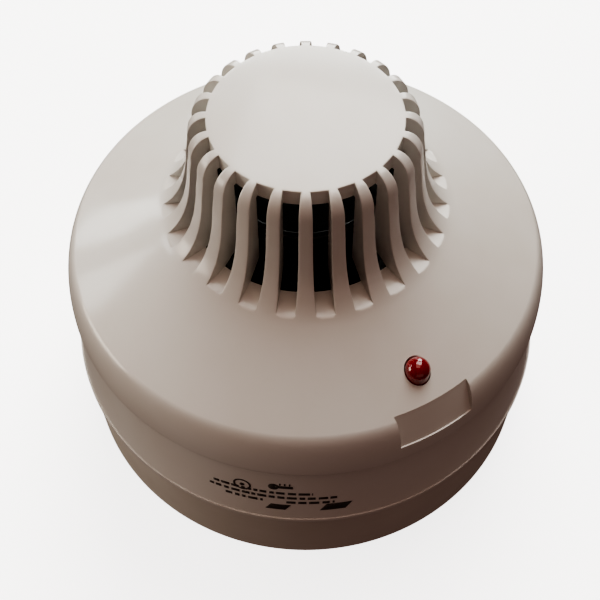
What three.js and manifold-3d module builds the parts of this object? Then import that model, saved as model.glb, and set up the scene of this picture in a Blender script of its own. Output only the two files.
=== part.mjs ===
// A ceiling heat detector with its dome up: a drum-shaped head with a slotted sensor cage, which turns
// and locks on a round mounting base. Millimetres, +Z up, origin at the centre of the base's flat back.
// Azimuths are in degrees from the front (-Y) towards the right (+X).
import * as THREE from 'three';
import { mergeVertices } from 'three/addons/utils/BufferGeometryUtils.js';
import Module from 'manifold-3d';

const wasm = await Module();
wasm.setup();

// ---- Driving dimensions ----
const GAP = 0.3; // left between pieces that touch
const PASS = 1; // how far a cutting tool reaches past what it cuts
const LARGE_SEGMENTS = 48;
const MEDIUM_SEGMENTS = 24;
const SMALL_SEGMENTS = 16;
const THIN_SEGMENTS = 8;

// Outer cover: the drum. Its rim's radius drives every other radius of the drum and the base.
const RIM_R = 54.3;
const RIM_H = 1.3; // the straight band above the seam
const RIM_STEP = 0.3; // how far that band stands proud of the wall
const WAIST_R = RIM_R - 2.7;
const WAIST_H = 18.4; // above the seam
const WALL_HOLLOW = 0.2; // how far the wall's middle height lies inside a straight flare
const SHOULDER_R = RIM_R - 1.8;
const SHOULDER_H = 21.3; // widest point, above the seam
const SHOULDER_ROUND_R = 3.8;
const SHOULDER_ROUND_H = 11.2;
const CONE_ANGLE = 27;
const COVER_WALL = 2.2;
const CONE_WALL = 2.5;

// Mounting base
const BASE_R = RIM_R - 0.3;
const BASE_TOP_R = BASE_R - 0.2;
const BASE_H = 19.6;
const BASE_WALL = 2.4;
const BASE_FLOOR = 2.4;
const BASE_CHAMFER = 0.6;
const KEYHOLE_X = 32; // each keyhole's distance from the centre
const KEYHOLE_HEAD_R = 4.3;
const KEYHOLE_SLOT_W = 4.6;
const KEYHOLE_SLOT_L = 9;

// Outer cover: the slotted cage
const DISC_R = 18.7; // drives every other radius of the cage, and the tower inside it
const CAGE_FOOT_R = DISC_R + 10.4; // where a slot's floor meets the cone
const CAGE_H = 24; // from the slots' floor to the disc's edge
const FLARE_START = 2.2; // how far outside the foot the bell leaves the cone
const FLARE_FOOT_PULL = 4.9; // how far in the bell's curve follows the cone's slope
const FLARE_TOP_PULL = 0.58; // share of the bell's height over which its curve is upright
const FLARE_TOP_STEP = 1;
const BORE_STEP = 0.4; // the cage's bore is this much wider than the disc
const DISC_CROWN = 0.8;
const DISC_T = 2.2;
const DISC_SKIRT_H = 3.6;
const DISC_SKIRT_W = 2.1;
const CAGE_NECK_R = DISC_R + 3.9; // outside of the ribs, just under their rounded tops
const CAGE_NECK_DROP = 5.3; // how far that is below the disc's edge
const CAGE_MID_R = DISC_R + 4.5;
const CAGE_MID_DROP = 8.8;
const SLOT_COUNT = 24;
const SLOT_W = 3.4;

// Recess and lens hole in the shoulder
const LED_AZIMUTH = 30;
const LED_RADIUS = RIM_R - 11.4;
const LED_R = 2.5;
const LED_FLANGE_R = LED_R + 0.4;
const LED_FLANGE_T = 1;
const LED_BODY_H = 6.1; // from the flange's underside to the dome's centre
const LED_PROUD = 0.4; // the dome's centre, above the cone's surface
const LED_LEAD_TAIL = 1.2; // through the board
const LED_PITCH = 2.54;
const LED_LEAD_R = 0.3;
const RECESS_W = 16.7;
const RECESS_LEDGE_H = 25.6; // the ledge along its lower side, above the seam
const RECESS_LEDGE = 0.6;
const RECESS_TILT = 25; // of its floor, from upright

// Rear housing
const PLATE_T = 2;
const PLATE_SIDE_GAP = 0.6;
const PLATE_LIFT = 0.6; // above the cover's lower rim
const CRADLE_WALL = 1.6;
const CRADLE_ROOF = 1.4;
const TAB_COUNT = 3;
const TAB_R = RIM_R - 9.7; // inside of a tab's arm
const TAB_ARM_T = 2.3;
const TAB_FOOT_REACH = 3.5;
const TAB_FOOT_T = 2.2;
const TAB_DROP = 9.9; // from the plate down to the foot's underside
const TAB_HALF_ANGLE = 4;
const SHELF_T = 2;
const SHELF_HALF_ANGLE = 6;
const STOP_HALF_ANGLE = 1.2;
const LOCK_CLEARANCE = 0.4;
const LOCK_SIDE_CLEARANCE = 0.6;

// Cells and contacts
const CELL_R = 8.5;
const CELL_EDGE = 0.6;
const CELL_L = 33.2;
const CELL_NUB_R = 3.2;
const CELL_NUB_L = 1.2;
const CELL_CLEARANCE = 0.5;
const CONTACT_T = 0.4;
const CONTACT_W = 11;
const SPRING_L = 2.6;
const SPRING_R = 3.4;
const SPRING_WIRE_R = 0.4;
const SPRING_TURNS = 2;

// Circuit board
const BOARD_R = RIM_R - 9.3;
const BOARD_T = 1.6;
const BOARD_LIFT = 1; // above the cradle's roof
const BOARD_POST_RADIUS = RIM_R - 16.3;
const COVER_POST_RADIUS = RIM_R - 9.9;
const POST_R = 3;
const SCREW_R = 1.4;
const SCREW_HEAD_R = 2.7;
const SCREW_HEAD_T = 1.8;
const SCREW_L = 7;
const SCREW_HOLE_R = 1.7;

// Sensor tower and thermistor
const TOWER_CLEARANCE = 2.6; // round it, inside the cage's bore
const TOWER_SEGMENTS = 36;
const TOWER_WALL = 1.6;
const TOWER_FOOT_REACH = 2;
const TOWER_FOOT_T = 1.6;
const TOWER_RISE = 5.35; // above the slots' floor
const CAP_T = 1;
const CAP_RIM_H = 1;
const CAP_RIM_W = 1.5;
const CAP_PLUG_H = 1.8;
const CAP_PLUG_W = 1.5;
const HOLDER_R = 3;
const HOLDER_FLANGE_R = 4.6;
const HOLDER_FLANGE_T = 1;
const HOLDER_PLUG_H = 3;
const HOLDER_NECK_H = 1.2;
const HOLDER_NECK_R = 2.4;
const BEAD_R = 1.4;
const BEAD_L = 3.6;
const BEAD_CLEARANCE = 2.55; // under the disc
const SENSE_LEAD_R = 0.35;
const SENSE_LEAD_PITCH = 2.54;
const SENSE_LEAD_STEPS = 30;
const SENSE_LEAD_END_GAP = 0.45; // under the bead
const SENSE_LEAD_TOP_PITCH = 1.1;

// Tamper plunger and pairing button
const SWITCH_W = 6;
const SWITCH_H = 3.5;
const SWITCH_BORE_DEPTH = 2.8;
const SWITCH_CLEARANCE = 3.38; // beside the cradle
const TAMPER_AZIMUTH = 150;
const PAIRING_AZIMUTH = 210;
const STEM_R = 1.5;
const STEM_ENTRY = 0.6; // how far a stem stands inside its switch at rest
const STEM_CLEARANCE = 0.4;
const TAMPER_CAP_R = 2.5;
const TAMPER_CAP_EDGE = 0.5;
const TAMPER_CAP_L = 4;
const TAMPER_COLLAR_R = 3.3;
const TAMPER_COLLAR_T = 1.2;
const TAMPER_COLLAR_LIFT = 6; // above the plate
const TAMPER_REACH = 3; // below the plate
const TAMPER_SPRING_R = 2.6;
const TAMPER_SPRING_WIRE_R = 0.3;
const TAMPER_SPRING_TURNS = 5;
const TAMPER_POST_R = 3;
const PAIRING_CAP_R = 2;
const PAIRING_REACH = 1;

// Parts on the board: width, depth, height and centre. The chip and the crystal stand beside the tower.
const BUZZER = { radius: 7, height: 7.6, wall: 1, x: -30, y: 0, vent: 1, discR: 5.2, discT: 0.4 };
const RADIO = { w: 24, d: 16, t: 1, lift: 2.6, x: 0, y: 31 };
const SHIELD = { w: 14, d: 11, h: 2.2, x: -3, y: 31, wall: 0.4 };
const HEADER = { w: 15, d: 2.2, x: 0, y: 37 };
const CHIP = { w: 10, d: 10, h: 1.6, x: DISC_R + 7.3, y: -12 };
const CRYSTAL = { w: 11, d: 4.6, h: 3.5, x: DISC_R + 8.3, y: 1 };
const CAPACITOR = { radius: 4, height: 11, x: 25, y: 12 };
const REGULATOR = { w: 6.5, d: 3.5, h: 1.7, x: -24, y: -18 };
const INDUCTOR = { radius: 3.2, height: 3, x: -14, y: -26 };
const JUMPER = { w: 2.5, d: 7.5, h: 2.5, pin: 0.6, pinH: 8, root: 1, cap: 5, x: 11, y: -27, pitch: 2.54 };
const REFERENCE = { radius: 1.2, length: 3, x: -24, y: -26 };
const ANTENNA = { radius: BOARD_R - 5, lift: 5.5, wireR: 0.5, from: 150, to: 262, steps: 12 };

// ---- Worked out from the above ----
const coneSlope = Math.tan(THREE.MathUtils.degToRad(CONE_ANGLE));
const seamZ = BASE_H + GAP;
const shoulderZ = seamZ + SHOULDER_H;
// The shoulder's round turns into the cone where their slopes agree.
const shoulderTurn = Math.atan2(SHOULDER_ROUND_H, SHOULDER_ROUND_R * coneSlope);
const coneFootR = SHOULDER_R - SHOULDER_ROUND_R * (1 - Math.cos(shoulderTurn));
const coneFootZ = shoulderZ + SHOULDER_ROUND_H * Math.sin(shoulderTurn);
const coneZ = (r) => coneFootZ + (coneFootR - r) * coneSlope;
const coneDrop = CONE_WALL / Math.cos(THREE.MathUtils.degToRad(CONE_ANGLE));
const slotFloorZ = coneZ(CAGE_FOOT_R);
const discEdgeZ = slotFloorZ + CAGE_H;
const boreR = DISC_R + BORE_STEP;
const towerR = boreR - TOWER_CLEARANCE;
const plateZ = seamZ + PLATE_LIFT;
const plateTopZ = plateZ + PLATE_T;
const plateR = RIM_R - COVER_WALL - PLATE_SIDE_GAP;
const cellZ = plateZ + CELL_CLEARANCE + CELL_R + PLATE_T / 2;
const cellY = CELL_R + CELL_CLEARANCE;
const cradleTopZ = cellZ + CELL_R + CELL_CLEARANCE + CRADLE_ROOF;
const cradleHalfX = (CELL_L + CELL_NUB_L + SPRING_L) / 2 + CONTACT_T + 3 * GAP;
const cradleHalfY = 2 * CELL_R + 2 * CELL_CLEARANCE;
const boardZ = cradleTopZ + BOARD_LIFT;
const boardTopZ = boardZ + BOARD_T;
const onBoardZ = boardTopZ + GAP;
const towerTopZ = slotFloorZ + TOWER_RISE;
const capZ = towerTopZ + GAP;
const holderZ = capZ + CAP_T + GAP;
const holderTopZ = holderZ + HOLDER_FLANGE_T + HOLDER_NECK_H;
const beadZ = discEdgeZ - DISC_T - BEAD_CLEARANCE - BEAD_L;
const beadRise = beadZ - holderTopZ;
const switchZ = boardZ - GAP - SWITCH_H;
const switchY = cradleHalfY + CRADLE_WALL + SWITCH_CLEARANCE + SWITCH_W / 2;
const switchRadius = -switchY / Math.cos(THREE.MathUtils.degToRad(TAMPER_AZIMUTH));
const ledCentreZ = coneZ(LED_RADIUS) + LED_PROUD;
const ledFlangeZ = ledCentreZ - LED_BODY_H;

// ---- Colours ----
const look = (color, roughness, metalness = 0) =>
  new THREE.MeshStandardMaterial({ color, roughness, metalness });
const shellLook = look(0xd9d3ca, 0.4);
const baseLook = look(0xcdc8bf, 0.5);
const innerLook = look(0xc9c5bc, 0.55);
const blackLook = look(0x0d0d0e, 0.3);
const boardLook = look(0x1f5a34, 0.45);
const lensLook = look(0x9b0d12, 0.1);
const steelLook = look(0xb9bcc0, 0.3, 1);
const brassLook = look(0xc6a052, 0.35, 1);
const whiteLook = look(0xe8e6e0, 0.5);
const beadLook = look(0x2b2a2a, 0.25);
const cellLook = look(0x2f3f5a, 0.35, 0.2);

// ---- Helpers ----
const onAxis = (azimuth, radius) => {
  const turn = THREE.MathUtils.degToRad(azimuth);
  return [radius * Math.sin(turn), -radius * Math.cos(turn)];
};
const spread = (count, first = 0) => Array.from({ length: count }, (_, i) => first + (i * 360) / count);

// A mesh of shared vertices, without the slivers that a pole leaves, and with its faces outwards.
function closed(geometry) {
  const bare = geometry.clone();
  bare.deleteAttribute('normal');
  bare.deleteAttribute('uv');
  const merged = mergeVertices(bare, 1e-4);
  const place = merged.getAttribute('position');
  const corners = Array.from(merged.getIndex().array);
  const kept = [];
  let volume = 0;
  const a = new THREE.Vector3();
  const b = new THREE.Vector3();
  const c = new THREE.Vector3();
  for (let i = 0; i < corners.length; i += 3) {
    const [p, q, r] = corners.slice(i, i + 3);
    if (p === q || q === r || r === p) continue;
    kept.push(p, q, r);
    a.fromBufferAttribute(place, p);
    b.fromBufferAttribute(place, q);
    c.fromBufferAttribute(place, r);
    volume += a.dot(b.cross(c));
  }
  if (volume < 0) kept.reverse();
  const result = new THREE.BufferGeometry();
  result.setAttribute('position', place.clone());
  result.setIndex(kept);
  return result;
}

function toSolid(geometry) {
  const tidy = closed(geometry);
  const vertProperties = new Float32Array(tidy.getAttribute('position').array);
  const triVerts = new Uint32Array(tidy.getIndex().array);
  return new wasm.Manifold(new wasm.Mesh({ numProp: 3, vertProperties, triVerts }));
}

function fromSolid(solid) {
  const mesh = solid.getMesh();
  const result = new THREE.BufferGeometry();
  result.setAttribute('position', new THREE.BufferAttribute(new Float32Array(mesh.vertProperties), 3));
  result.setIndex(Array.from(mesh.triVerts));
  return result;
}

const join = (...pieces) => fromSolid(pieces.map(toSolid).reduce((sum, piece) => sum.add(piece)));
const cut = (body, ...tools) =>
  fromSolid(tools.map(toSolid).reduce((rest, tool) => rest.subtract(tool), toSolid(body)));

// A solid of revolution about +Z from [radius, height] points.
function turned(points, segments = MEDIUM_SEGMENTS) {
  const outline = points.map(([r, z]) => new THREE.Vector2(r, z));
  outline.push(outline[0].clone());
  return closed(new THREE.LatheGeometry(outline, segments).rotateX(Math.PI / 2));
}

const moved = (geometry, x, y, z = 0) => geometry.clone().translate(x, y, z);
const rod = (r, z0, z1, segments = SMALL_SEGMENTS) => turned([[0, z0], [r, z0], [r, z1], [0, z1]], segments);
const tube = (rIn, rOut, z0, z1, segments = MEDIUM_SEGMENTS) =>
  turned([[rIn, z0], [rOut, z0], [rOut, z1], [rIn, z1]], segments);
const block = (w, d, z0, z1) => closed(new THREE.BoxGeometry(w, d, z1 - z0).translate(0, 0, (z0 + z1) / 2));

// A flat piece of a ring, between two azimuths.
function sector(rIn, rOut, from, to, z0, z1) {
  const a = THREE.MathUtils.degToRad(from - 90);
  const b = THREE.MathUtils.degToRad(to - 90);
  const outline = new THREE.Shape();
  outline.absarc(0, 0, rOut, a, b, false);
  outline.absarc(0, 0, rIn, b, a, true);
  const options = { depth: z1 - z0, bevelEnabled: false, curveSegments: 4 };
  return closed(new THREE.ExtrudeGeometry(outline, options).translate(0, 0, z0));
}

// A round wire along points, as an extruded section.
function wire(points, r, steps, sides = 6) {
  const path = new THREE.CatmullRomCurve3(points.map((p) => new THREE.Vector3(...p)));
  const section = new THREE.Shape();
  section.absarc(0, 0, r, 0, 2 * Math.PI, false);
  const options = { steps, extrudePath: path, curveSegments: sides / 2, bevelEnabled: false };
  return closed(new THREE.ExtrudeGeometry(section, options));
}

function coil(r, wireR, turns, length) {
  const stepsPerTurn = 9;
  const count = turns * stepsPerTurn;
  const points = Array.from({ length: count + 1 }, (_, i) => {
    const turn = (2 * Math.PI * i) / stepsPerTurn;
    return [r * Math.cos(turn), r * Math.sin(turn), (length * i) / count];
  });
  return wire(points, wireR, count, 6);
}

const detector = new THREE.Group();
function add(name, geometry, material) {
  const mesh = new THREE.Mesh(geometry, material);
  mesh.name = name;
  detector.add(mesh);
}

// ---- Mounting base ----
function keyhole(side) {
  const z0 = -PASS;
  const z1 = BASE_FLOOR + PASS;
  const head = moved(rod(KEYHOLE_HEAD_R, z0, z1, MEDIUM_SEGMENTS), side * KEYHOLE_X, 0);
  const cutter = block(KEYHOLE_SLOT_W, KEYHOLE_SLOT_L, z0, z1);
  const slot = moved(cutter, side * KEYHOLE_X, side * KEYHOLE_SLOT_L / 2);
  return join(head, slot);
}

function mountingBase() {
  const innerR = BASE_TOP_R - BASE_WALL;
  const cup = turned([
    [0, 0], [BASE_R - BASE_CHAMFER, 0], [BASE_R, BASE_CHAMFER], [BASE_TOP_R, BASE_H],
    [innerR, BASE_H], [innerR, BASE_FLOOR], [0, BASE_FLOOR],
  ], LARGE_SEGMENTS);
  const footTopZ = plateZ - TAB_DROP + TAB_FOOT_T;
  const shelfZ = footTopZ + LOCK_CLEARANCE;
  const shelfR = TAB_R + TAB_ARM_T + LOCK_SIDE_CLEARANCE;
  const wallR = innerR + BASE_WALL / 2;
  const locks = spread(TAB_COUNT).flatMap((azimuth) => {
    const from = azimuth - SHELF_HALF_ANGLE - 1;
    const stopFrom = azimuth - TAB_HALF_ANGLE - 1 - 2 * STOP_HALF_ANGLE;
    return [
      sector(shelfR, wallR, from, azimuth + SHELF_HALF_ANGLE - 1, shelfZ, shelfZ + SHELF_T),
      sector(shelfR, wallR, stopFrom, stopFrom + 2 * STOP_HALF_ANGLE, BASE_FLOOR / 2, shelfZ + SHELF_T / 2),
    ];
  });
  const tamperPost = moved(
    rod(TAMPER_POST_R, BASE_FLOOR / 2, plateZ - TAMPER_REACH - GAP), ...onAxis(TAMPER_AZIMUTH, switchRadius));
  return cut(join(cup, ...locks, tamperPost), keyhole(1), keyhole(-1));
}

// ---- Outer cover ----
function shoulderArc(centreR, centreZ, roundR, roundH, from, to, count) {
  return Array.from({ length: count + 1 }, (_, i) => {
    const turn = from + ((to - from) * i) / count;
    return [centreR + roundR * Math.cos(turn), centreZ + roundH * Math.sin(turn)];
  });
}

// The bell of the cage, from the cone up to the disc's edge.
function bellOutline() {
  const footR = CAGE_FOOT_R + FLARE_START;
  const start = new THREE.Vector2(footR, coneZ(footR));
  const mid = new THREE.Vector2(CAGE_MID_R, discEdgeZ - CAGE_MID_DROP);
  const rise = mid.y - start.y;
  const flare = new THREE.CubicBezierCurve(
    start,
    new THREE.Vector2(footR - FLARE_FOOT_PULL, coneZ(footR - FLARE_FOOT_PULL)),
    new THREE.Vector2(CAGE_MID_R + FLARE_TOP_STEP, mid.y - FLARE_TOP_PULL * rise),
    mid,
  );
  const neckZ = discEdgeZ - CAGE_NECK_DROP;
  const top = shoulderArc(DISC_R, neckZ, CAGE_NECK_R - DISC_R, CAGE_NECK_DROP, 0, Math.PI / 2, 4);
  return [...flare.getPoints(6).map((p) => [p.x, p.y]), ...top];
}

function crownOutline(count) {
  return Array.from({ length: count }, (_, i) => {
    const r = DISC_R * (1 - (i + 1) / count);
    return [r, discEdgeZ + DISC_CROWN * (1 - (r / DISC_R) ** 2)];
  });
}

function coverShell() {
  const wallTopR = RIM_R - RIM_STEP;
  const centreR = SHOULDER_R - SHOULDER_ROUND_R;
  const outside = [
    [RIM_R, seamZ], [RIM_R, seamZ + RIM_H], [wallTopR, seamZ + RIM_H],
    [(wallTopR + WAIST_R) / 2 - WALL_HOLLOW, seamZ + WAIST_H / 2], [WAIST_R, seamZ + WAIST_H],
    ...shoulderArc(centreR, shoulderZ, SHOULDER_ROUND_R, SHOULDER_ROUND_H, 0, shoulderTurn, 6),
    ...bellOutline(), ...crownOutline(2),
  ];
  const skirtZ = discEdgeZ - DISC_SKIRT_H;
  const skirtR = DISC_R - DISC_SKIRT_W;
  const inside = [
    [0, discEdgeZ - DISC_T], [skirtR, discEdgeZ - DISC_T], [skirtR, skirtZ], [boreR, skirtZ],
    [boreR, coneZ(boreR) - coneDrop],
    ...shoulderArc(centreR, shoulderZ, SHOULDER_ROUND_R - COVER_WALL, SHOULDER_ROUND_H - COVER_WALL,
      shoulderTurn, 0, 3),
    [WAIST_R - COVER_WALL, seamZ + WAIST_H], [RIM_R - COVER_WALL, seamZ + RIM_H], [RIM_R - COVER_WALL, seamZ],
  ];
  return turned([...outside, ...inside], LARGE_SEGMENTS);
}

function slotTool(azimuth) {
  const reach = CAGE_FOOT_R + PASS - DISC_R;
  const tool = new THREE.BoxGeometry(SLOT_W, reach, CAGE_H + DISC_CROWN + PASS);
  tool.translate(0, -(DISC_R + reach / 2), slotFloorZ + (CAGE_H + DISC_CROWN + PASS) / 2);
  return tool.rotateZ(THREE.MathUtils.degToRad(azimuth));
}

// Its floor is part of a cone round the detector's axis, which leans in from the ledge until it meets
// the shoulder.
function recessTool() {
  const ledgeZ = seamZ + RECESS_LEDGE_H;
  const ledgeR = SHOULDER_R - RECESS_LEDGE;
  const rise = SHOULDER_ROUND_H;
  const topR = ledgeR - rise * Math.tan(THREE.MathUtils.degToRad(RECESS_TILT));
  const outR = SHOULDER_R + PASS;
  const ring = turned([
    [ledgeR, ledgeZ], [outR, ledgeZ], [outR, ledgeZ + rise], [topR, ledgeZ + rise],
  ], LARGE_SEGMENTS);
  const window = moved(block(RECESS_W, outR, ledgeZ - PASS, ledgeZ + rise + PASS), 0, -outR / 2);
  return fromSolid(toSolid(ring).intersect(toSolid(window))).rotateZ(THREE.MathUtils.degToRad(LED_AZIMUTH));
}

function outerCover() {
  // The space up to the middle of the cone's wall, which trims the posts' tops.
  const underCone = turned([
    [0, seamZ], [coneFootR, seamZ], [coneFootR, coneFootZ - coneDrop / 2], [0, coneZ(0) - coneDrop / 2],
  ], LARGE_SEGMENTS);
  const posts = spread(3, 90).map((azimuth) => {
    const [x, y] = onAxis(azimuth, COVER_POST_RADIUS);
    const post = moved(rod(POST_R, plateTopZ + GAP, coneZ(COVER_POST_RADIUS - POST_R)), x, y);
    return fromSolid(toSolid(post).intersect(toSolid(underCone)));
  });
  const bores = spread(3, 90).map((azimuth) => {
    const [x, y] = onAxis(azimuth, COVER_POST_RADIUS);
    return moved(rod(SCREW_HOLE_R, plateTopZ, plateTopZ + SCREW_L + PASS), x, y);
  });
  const lensHole = moved(
    rod(LED_R + GAP, ledFlangeZ, ledCentreZ + 2 * PASS, MEDIUM_SEGMENTS), ...onAxis(LED_AZIMUTH, LED_RADIUS));
  const slots = spread(SLOT_COUNT, 180 / SLOT_COUNT).map(slotTool);
  return cut(join(coverShell(), ...posts), ...slots, recessTool(), lensHole, ...bores);
}

// ---- Rear housing ----
function rearHousing() {
  const plate = rod(plateR, plateZ, plateTopZ, LARGE_SEGMENTS);
  const outerHalfX = cradleHalfX + CRADLE_WALL;
  const outerHalfY = cradleHalfY + CRADLE_WALL;
  const outer = block(2 * outerHalfX, 2 * outerHalfY, plateZ + PLATE_T / 2, cradleTopZ);
  const pocket = block(2 * cradleHalfX, 2 * cradleHalfY, plateZ - PASS, cradleTopZ - CRADLE_ROOF);
  const footZ = plateZ - TAB_DROP;
  const armR = TAB_R + TAB_ARM_T;
  const tabs = spread(TAB_COUNT).flatMap((azimuth) => {
    const from = azimuth - TAB_HALF_ANGLE;
    const to = azimuth + TAB_HALF_ANGLE;
    return [
      sector(TAB_R, armR, from, to, footZ, plateZ + PLATE_T / 2),
      sector(TAB_R + TAB_ARM_T / 2, armR + TAB_FOOT_REACH, from, to, footZ, footZ + TAB_FOOT_T),
    ];
  });
  const boardPosts = spread(3).map((azimuth) => {
    const [x, y] = onAxis(azimuth, BOARD_POST_RADIUS);
    return moved(rod(POST_R, plateZ + PLATE_T / 2, boardZ - GAP), x, y);
  });
  const boardBores = spread(3).map((azimuth) => {
    const [x, y] = onAxis(azimuth, BOARD_POST_RADIUS);
    return moved(rod(SCREW_HOLE_R, boardTopZ - SCREW_L - PASS, boardZ), x, y);
  });
  const coverHoles = spread(3, 90).map((azimuth) => {
    const [x, y] = onAxis(azimuth, COVER_POST_RADIUS);
    return moved(rod(SCREW_HOLE_R, plateZ - PASS, plateTopZ + PASS), x, y);
  });
  const guide = (azimuth, r) =>
    moved(rod(r + STEM_CLEARANCE, plateZ - PASS, plateTopZ + PASS), ...onAxis(azimuth, switchRadius));
  return cut(join(plate, outer, ...tabs, ...boardPosts), pocket, ...boardBores, ...coverHoles,
    guide(TAMPER_AZIMUTH, TAMPER_CAP_R), guide(PAIRING_AZIMUTH, PAIRING_CAP_R));
}

// ---- Cells and contacts ----
function cellParts() {
  [['front', -1], ['rear', 1]].forEach(([name, side]) => {
    const startX = -cradleHalfX + CONTACT_T + 2 * GAP + SPRING_L;
    const toX = (geometry) => geometry.rotateY(side * Math.PI / 2).translate(0, side * cellY, cellZ);
    const cell = turned([
      [0, startX], [CELL_R - CELL_EDGE, startX], [CELL_R, startX + CELL_EDGE],
      [CELL_R, startX + CELL_L - CELL_EDGE], [CELL_R - CELL_EDGE, startX + CELL_L],
      [CELL_NUB_R, startX + CELL_L], [CELL_NUB_R, startX + CELL_L + CELL_NUB_L],
      [0, startX + CELL_L + CELL_NUB_L],
    ]);
    add(`battery_cell_${name}`, toX(cell), cellLook);
    const coilLength = SPRING_L - 2 * SPRING_WIRE_R - GAP;
    const spring = coil(SPRING_R, SPRING_WIRE_R, SPRING_TURNS, coilLength);
    spring.translate(0, 0, -cradleHalfX + CONTACT_T + 2 * GAP + SPRING_WIRE_R);
    add(`contact_spring_${name}`, toX(spring), steelLook);
    const plate = (x) => toX(block(CONTACT_W, CONTACT_W, x, x + CONTACT_T));
    add(`contact_plate_minus_${name}`, plate(-cradleHalfX + GAP), steelLook);
    add(`contact_plate_plus_${name}`, plate(cradleHalfX - GAP - CONTACT_T), brassLook);
  });
}

// ---- Circuit board and what stands on it ----
function circuitBoard() {
  const notches = spread(3, 90).map((azimuth) => {
    const [x, y] = onAxis(azimuth, COVER_POST_RADIUS);
    return moved(rod(POST_R + 2 * GAP, boardZ - PASS, boardTopZ + PASS), x, y);
  });
  const screwHoles = spread(3).map((azimuth) => {
    const [x, y] = onAxis(azimuth, BOARD_POST_RADIUS);
    return moved(rod(SCREW_HOLE_R, boardZ - PASS, boardTopZ + PASS), x, y);
  });
  const ledHole = rod(LED_LEAD_R + GAP, boardZ - PASS, boardTopZ + PASS, THIN_SEGMENTS);
  const [ledX, ledY] = onAxis(LED_AZIMUTH, LED_RADIUS);
  const leadHoles = [-1, 1].map((side) =>
    moved(ledHole.clone(), ledX + side * LED_PITCH / 2, ledY));
  const ledPad = moved(rod(LED_FLANGE_R + 1, boardZ, boardTopZ), ledX, ledY);
  const blank = join(rod(BOARD_R, boardZ, boardTopZ, LARGE_SEGMENTS), ledPad);
  return cut(blank, ...notches, ...screwHoles, ...leadHoles);
}

function screw(headZ, up) {
  const outline = [
    [0, -SCREW_L], [SCREW_R, -SCREW_L], [SCREW_R, 0], [SCREW_HEAD_R, 0], [SCREW_HEAD_R, SCREW_HEAD_T * 0.6],
    [SCREW_HEAD_R * 0.6, SCREW_HEAD_T], [0, SCREW_HEAD_T],
  ];
  const body = turned(outline, SMALL_SEGMENTS);
  const depth = SCREW_HEAD_T * 0.5;
  const arm = (w, d) => block(w, d, SCREW_HEAD_T - depth, SCREW_HEAD_T + PASS);
  const made = cut(body, join(arm(SCREW_HEAD_R, 0.7), arm(0.7, SCREW_HEAD_R)));
  if (!up) made.rotateX(Math.PI);
  return made.translate(0, 0, headZ);
}

function screwParts() {
  spread(3).forEach((azimuth, i) => {
    const [x, y] = onAxis(azimuth, BOARD_POST_RADIUS);
    add(`board_screw_${i + 1}`, moved(screw(boardTopZ + GAP, true), x, y), steelLook);
  });
  spread(3, 90).forEach((azimuth, i) => {
    const [x, y] = onAxis(azimuth, COVER_POST_RADIUS);
    add(`housing_screw_${i + 1}`, moved(screw(plateZ - GAP, false), x, y), steelLook);
  });
}

function sensorParts() {
  const innerR = towerR - TOWER_WALL;
  const footR = towerR + TOWER_FOOT_REACH;
  add('sensor_tower', turned([
    [innerR, onBoardZ], [footR, onBoardZ], [footR, onBoardZ + TOWER_FOOT_T],
    [towerR, onBoardZ + TOWER_FOOT_T], [towerR, towerTopZ], [innerR, towerTopZ],
  ], TOWER_SEGMENTS), blackLook);
  const plugR = innerR - GAP;
  const holderBoreR = HOLDER_R + GAP;
  add('tower_cap', turned([
    [holderBoreR, capZ], [plugR - CAP_PLUG_W, capZ], [plugR - CAP_PLUG_W, capZ - CAP_PLUG_H],
    [plugR, capZ - CAP_PLUG_H], [plugR, capZ],
    [towerR, capZ], [towerR, capZ + CAP_T + CAP_RIM_H], [towerR - CAP_RIM_W, capZ + CAP_T + CAP_RIM_H],
    [towerR - CAP_RIM_W, capZ + CAP_T], [holderBoreR, capZ + CAP_T],
  ], TOWER_SEGMENTS), blackLook);
  const holder = turned([
    [0, holderZ - HOLDER_PLUG_H], [HOLDER_R, holderZ - HOLDER_PLUG_H], [HOLDER_R, holderZ],
    [HOLDER_FLANGE_R, holderZ], [HOLDER_FLANGE_R, holderZ + HOLDER_FLANGE_T],
    [HOLDER_R, holderZ + HOLDER_FLANGE_T], [HOLDER_NECK_R, holderTopZ], [0, holderTopZ],
  ], MEDIUM_SEGMENTS);
  const leadBore = (side) => {
    const bore = rod(SENSE_LEAD_R + GAP, holderZ - HOLDER_PLUG_H - PASS, beadZ, THIN_SEGMENTS);
    return moved(bore, side * SENSE_LEAD_PITCH / 2, 0);
  };
  add('thermistor_holder', cut(holder, leadBore(-1), leadBore(1)), whiteLook);
  [['left', -1], ['right', 1]].forEach(([name, side]) => {
    const x = side * SENSE_LEAD_PITCH / 2;
    const bend = holderTopZ + beadRise / 3;
    const leadTop = beadZ - SENSE_LEAD_END_GAP;
    const points = [
      [x, 0, onBoardZ], [x, 0, holderTopZ], [x, 0, bend],
      [side * SENSE_LEAD_TOP_PITCH / 2, 0, leadTop - beadRise / 6],
      [side * SENSE_LEAD_TOP_PITCH / 2, 0, leadTop],
    ];
    add(`thermistor_lead_${name}`, wire(points, SENSE_LEAD_R, SENSE_LEAD_STEPS), steelLook);
  });
  const bead = shoulderArc(0, 0, BEAD_R, BEAD_L / 2, -Math.PI / 2, Math.PI / 2, 10);
  add('thermistor_bead', moved(turned(bead, SMALL_SEGMENTS), 0, 0, beadZ + BEAD_L / 2), beadLook);
}

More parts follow.
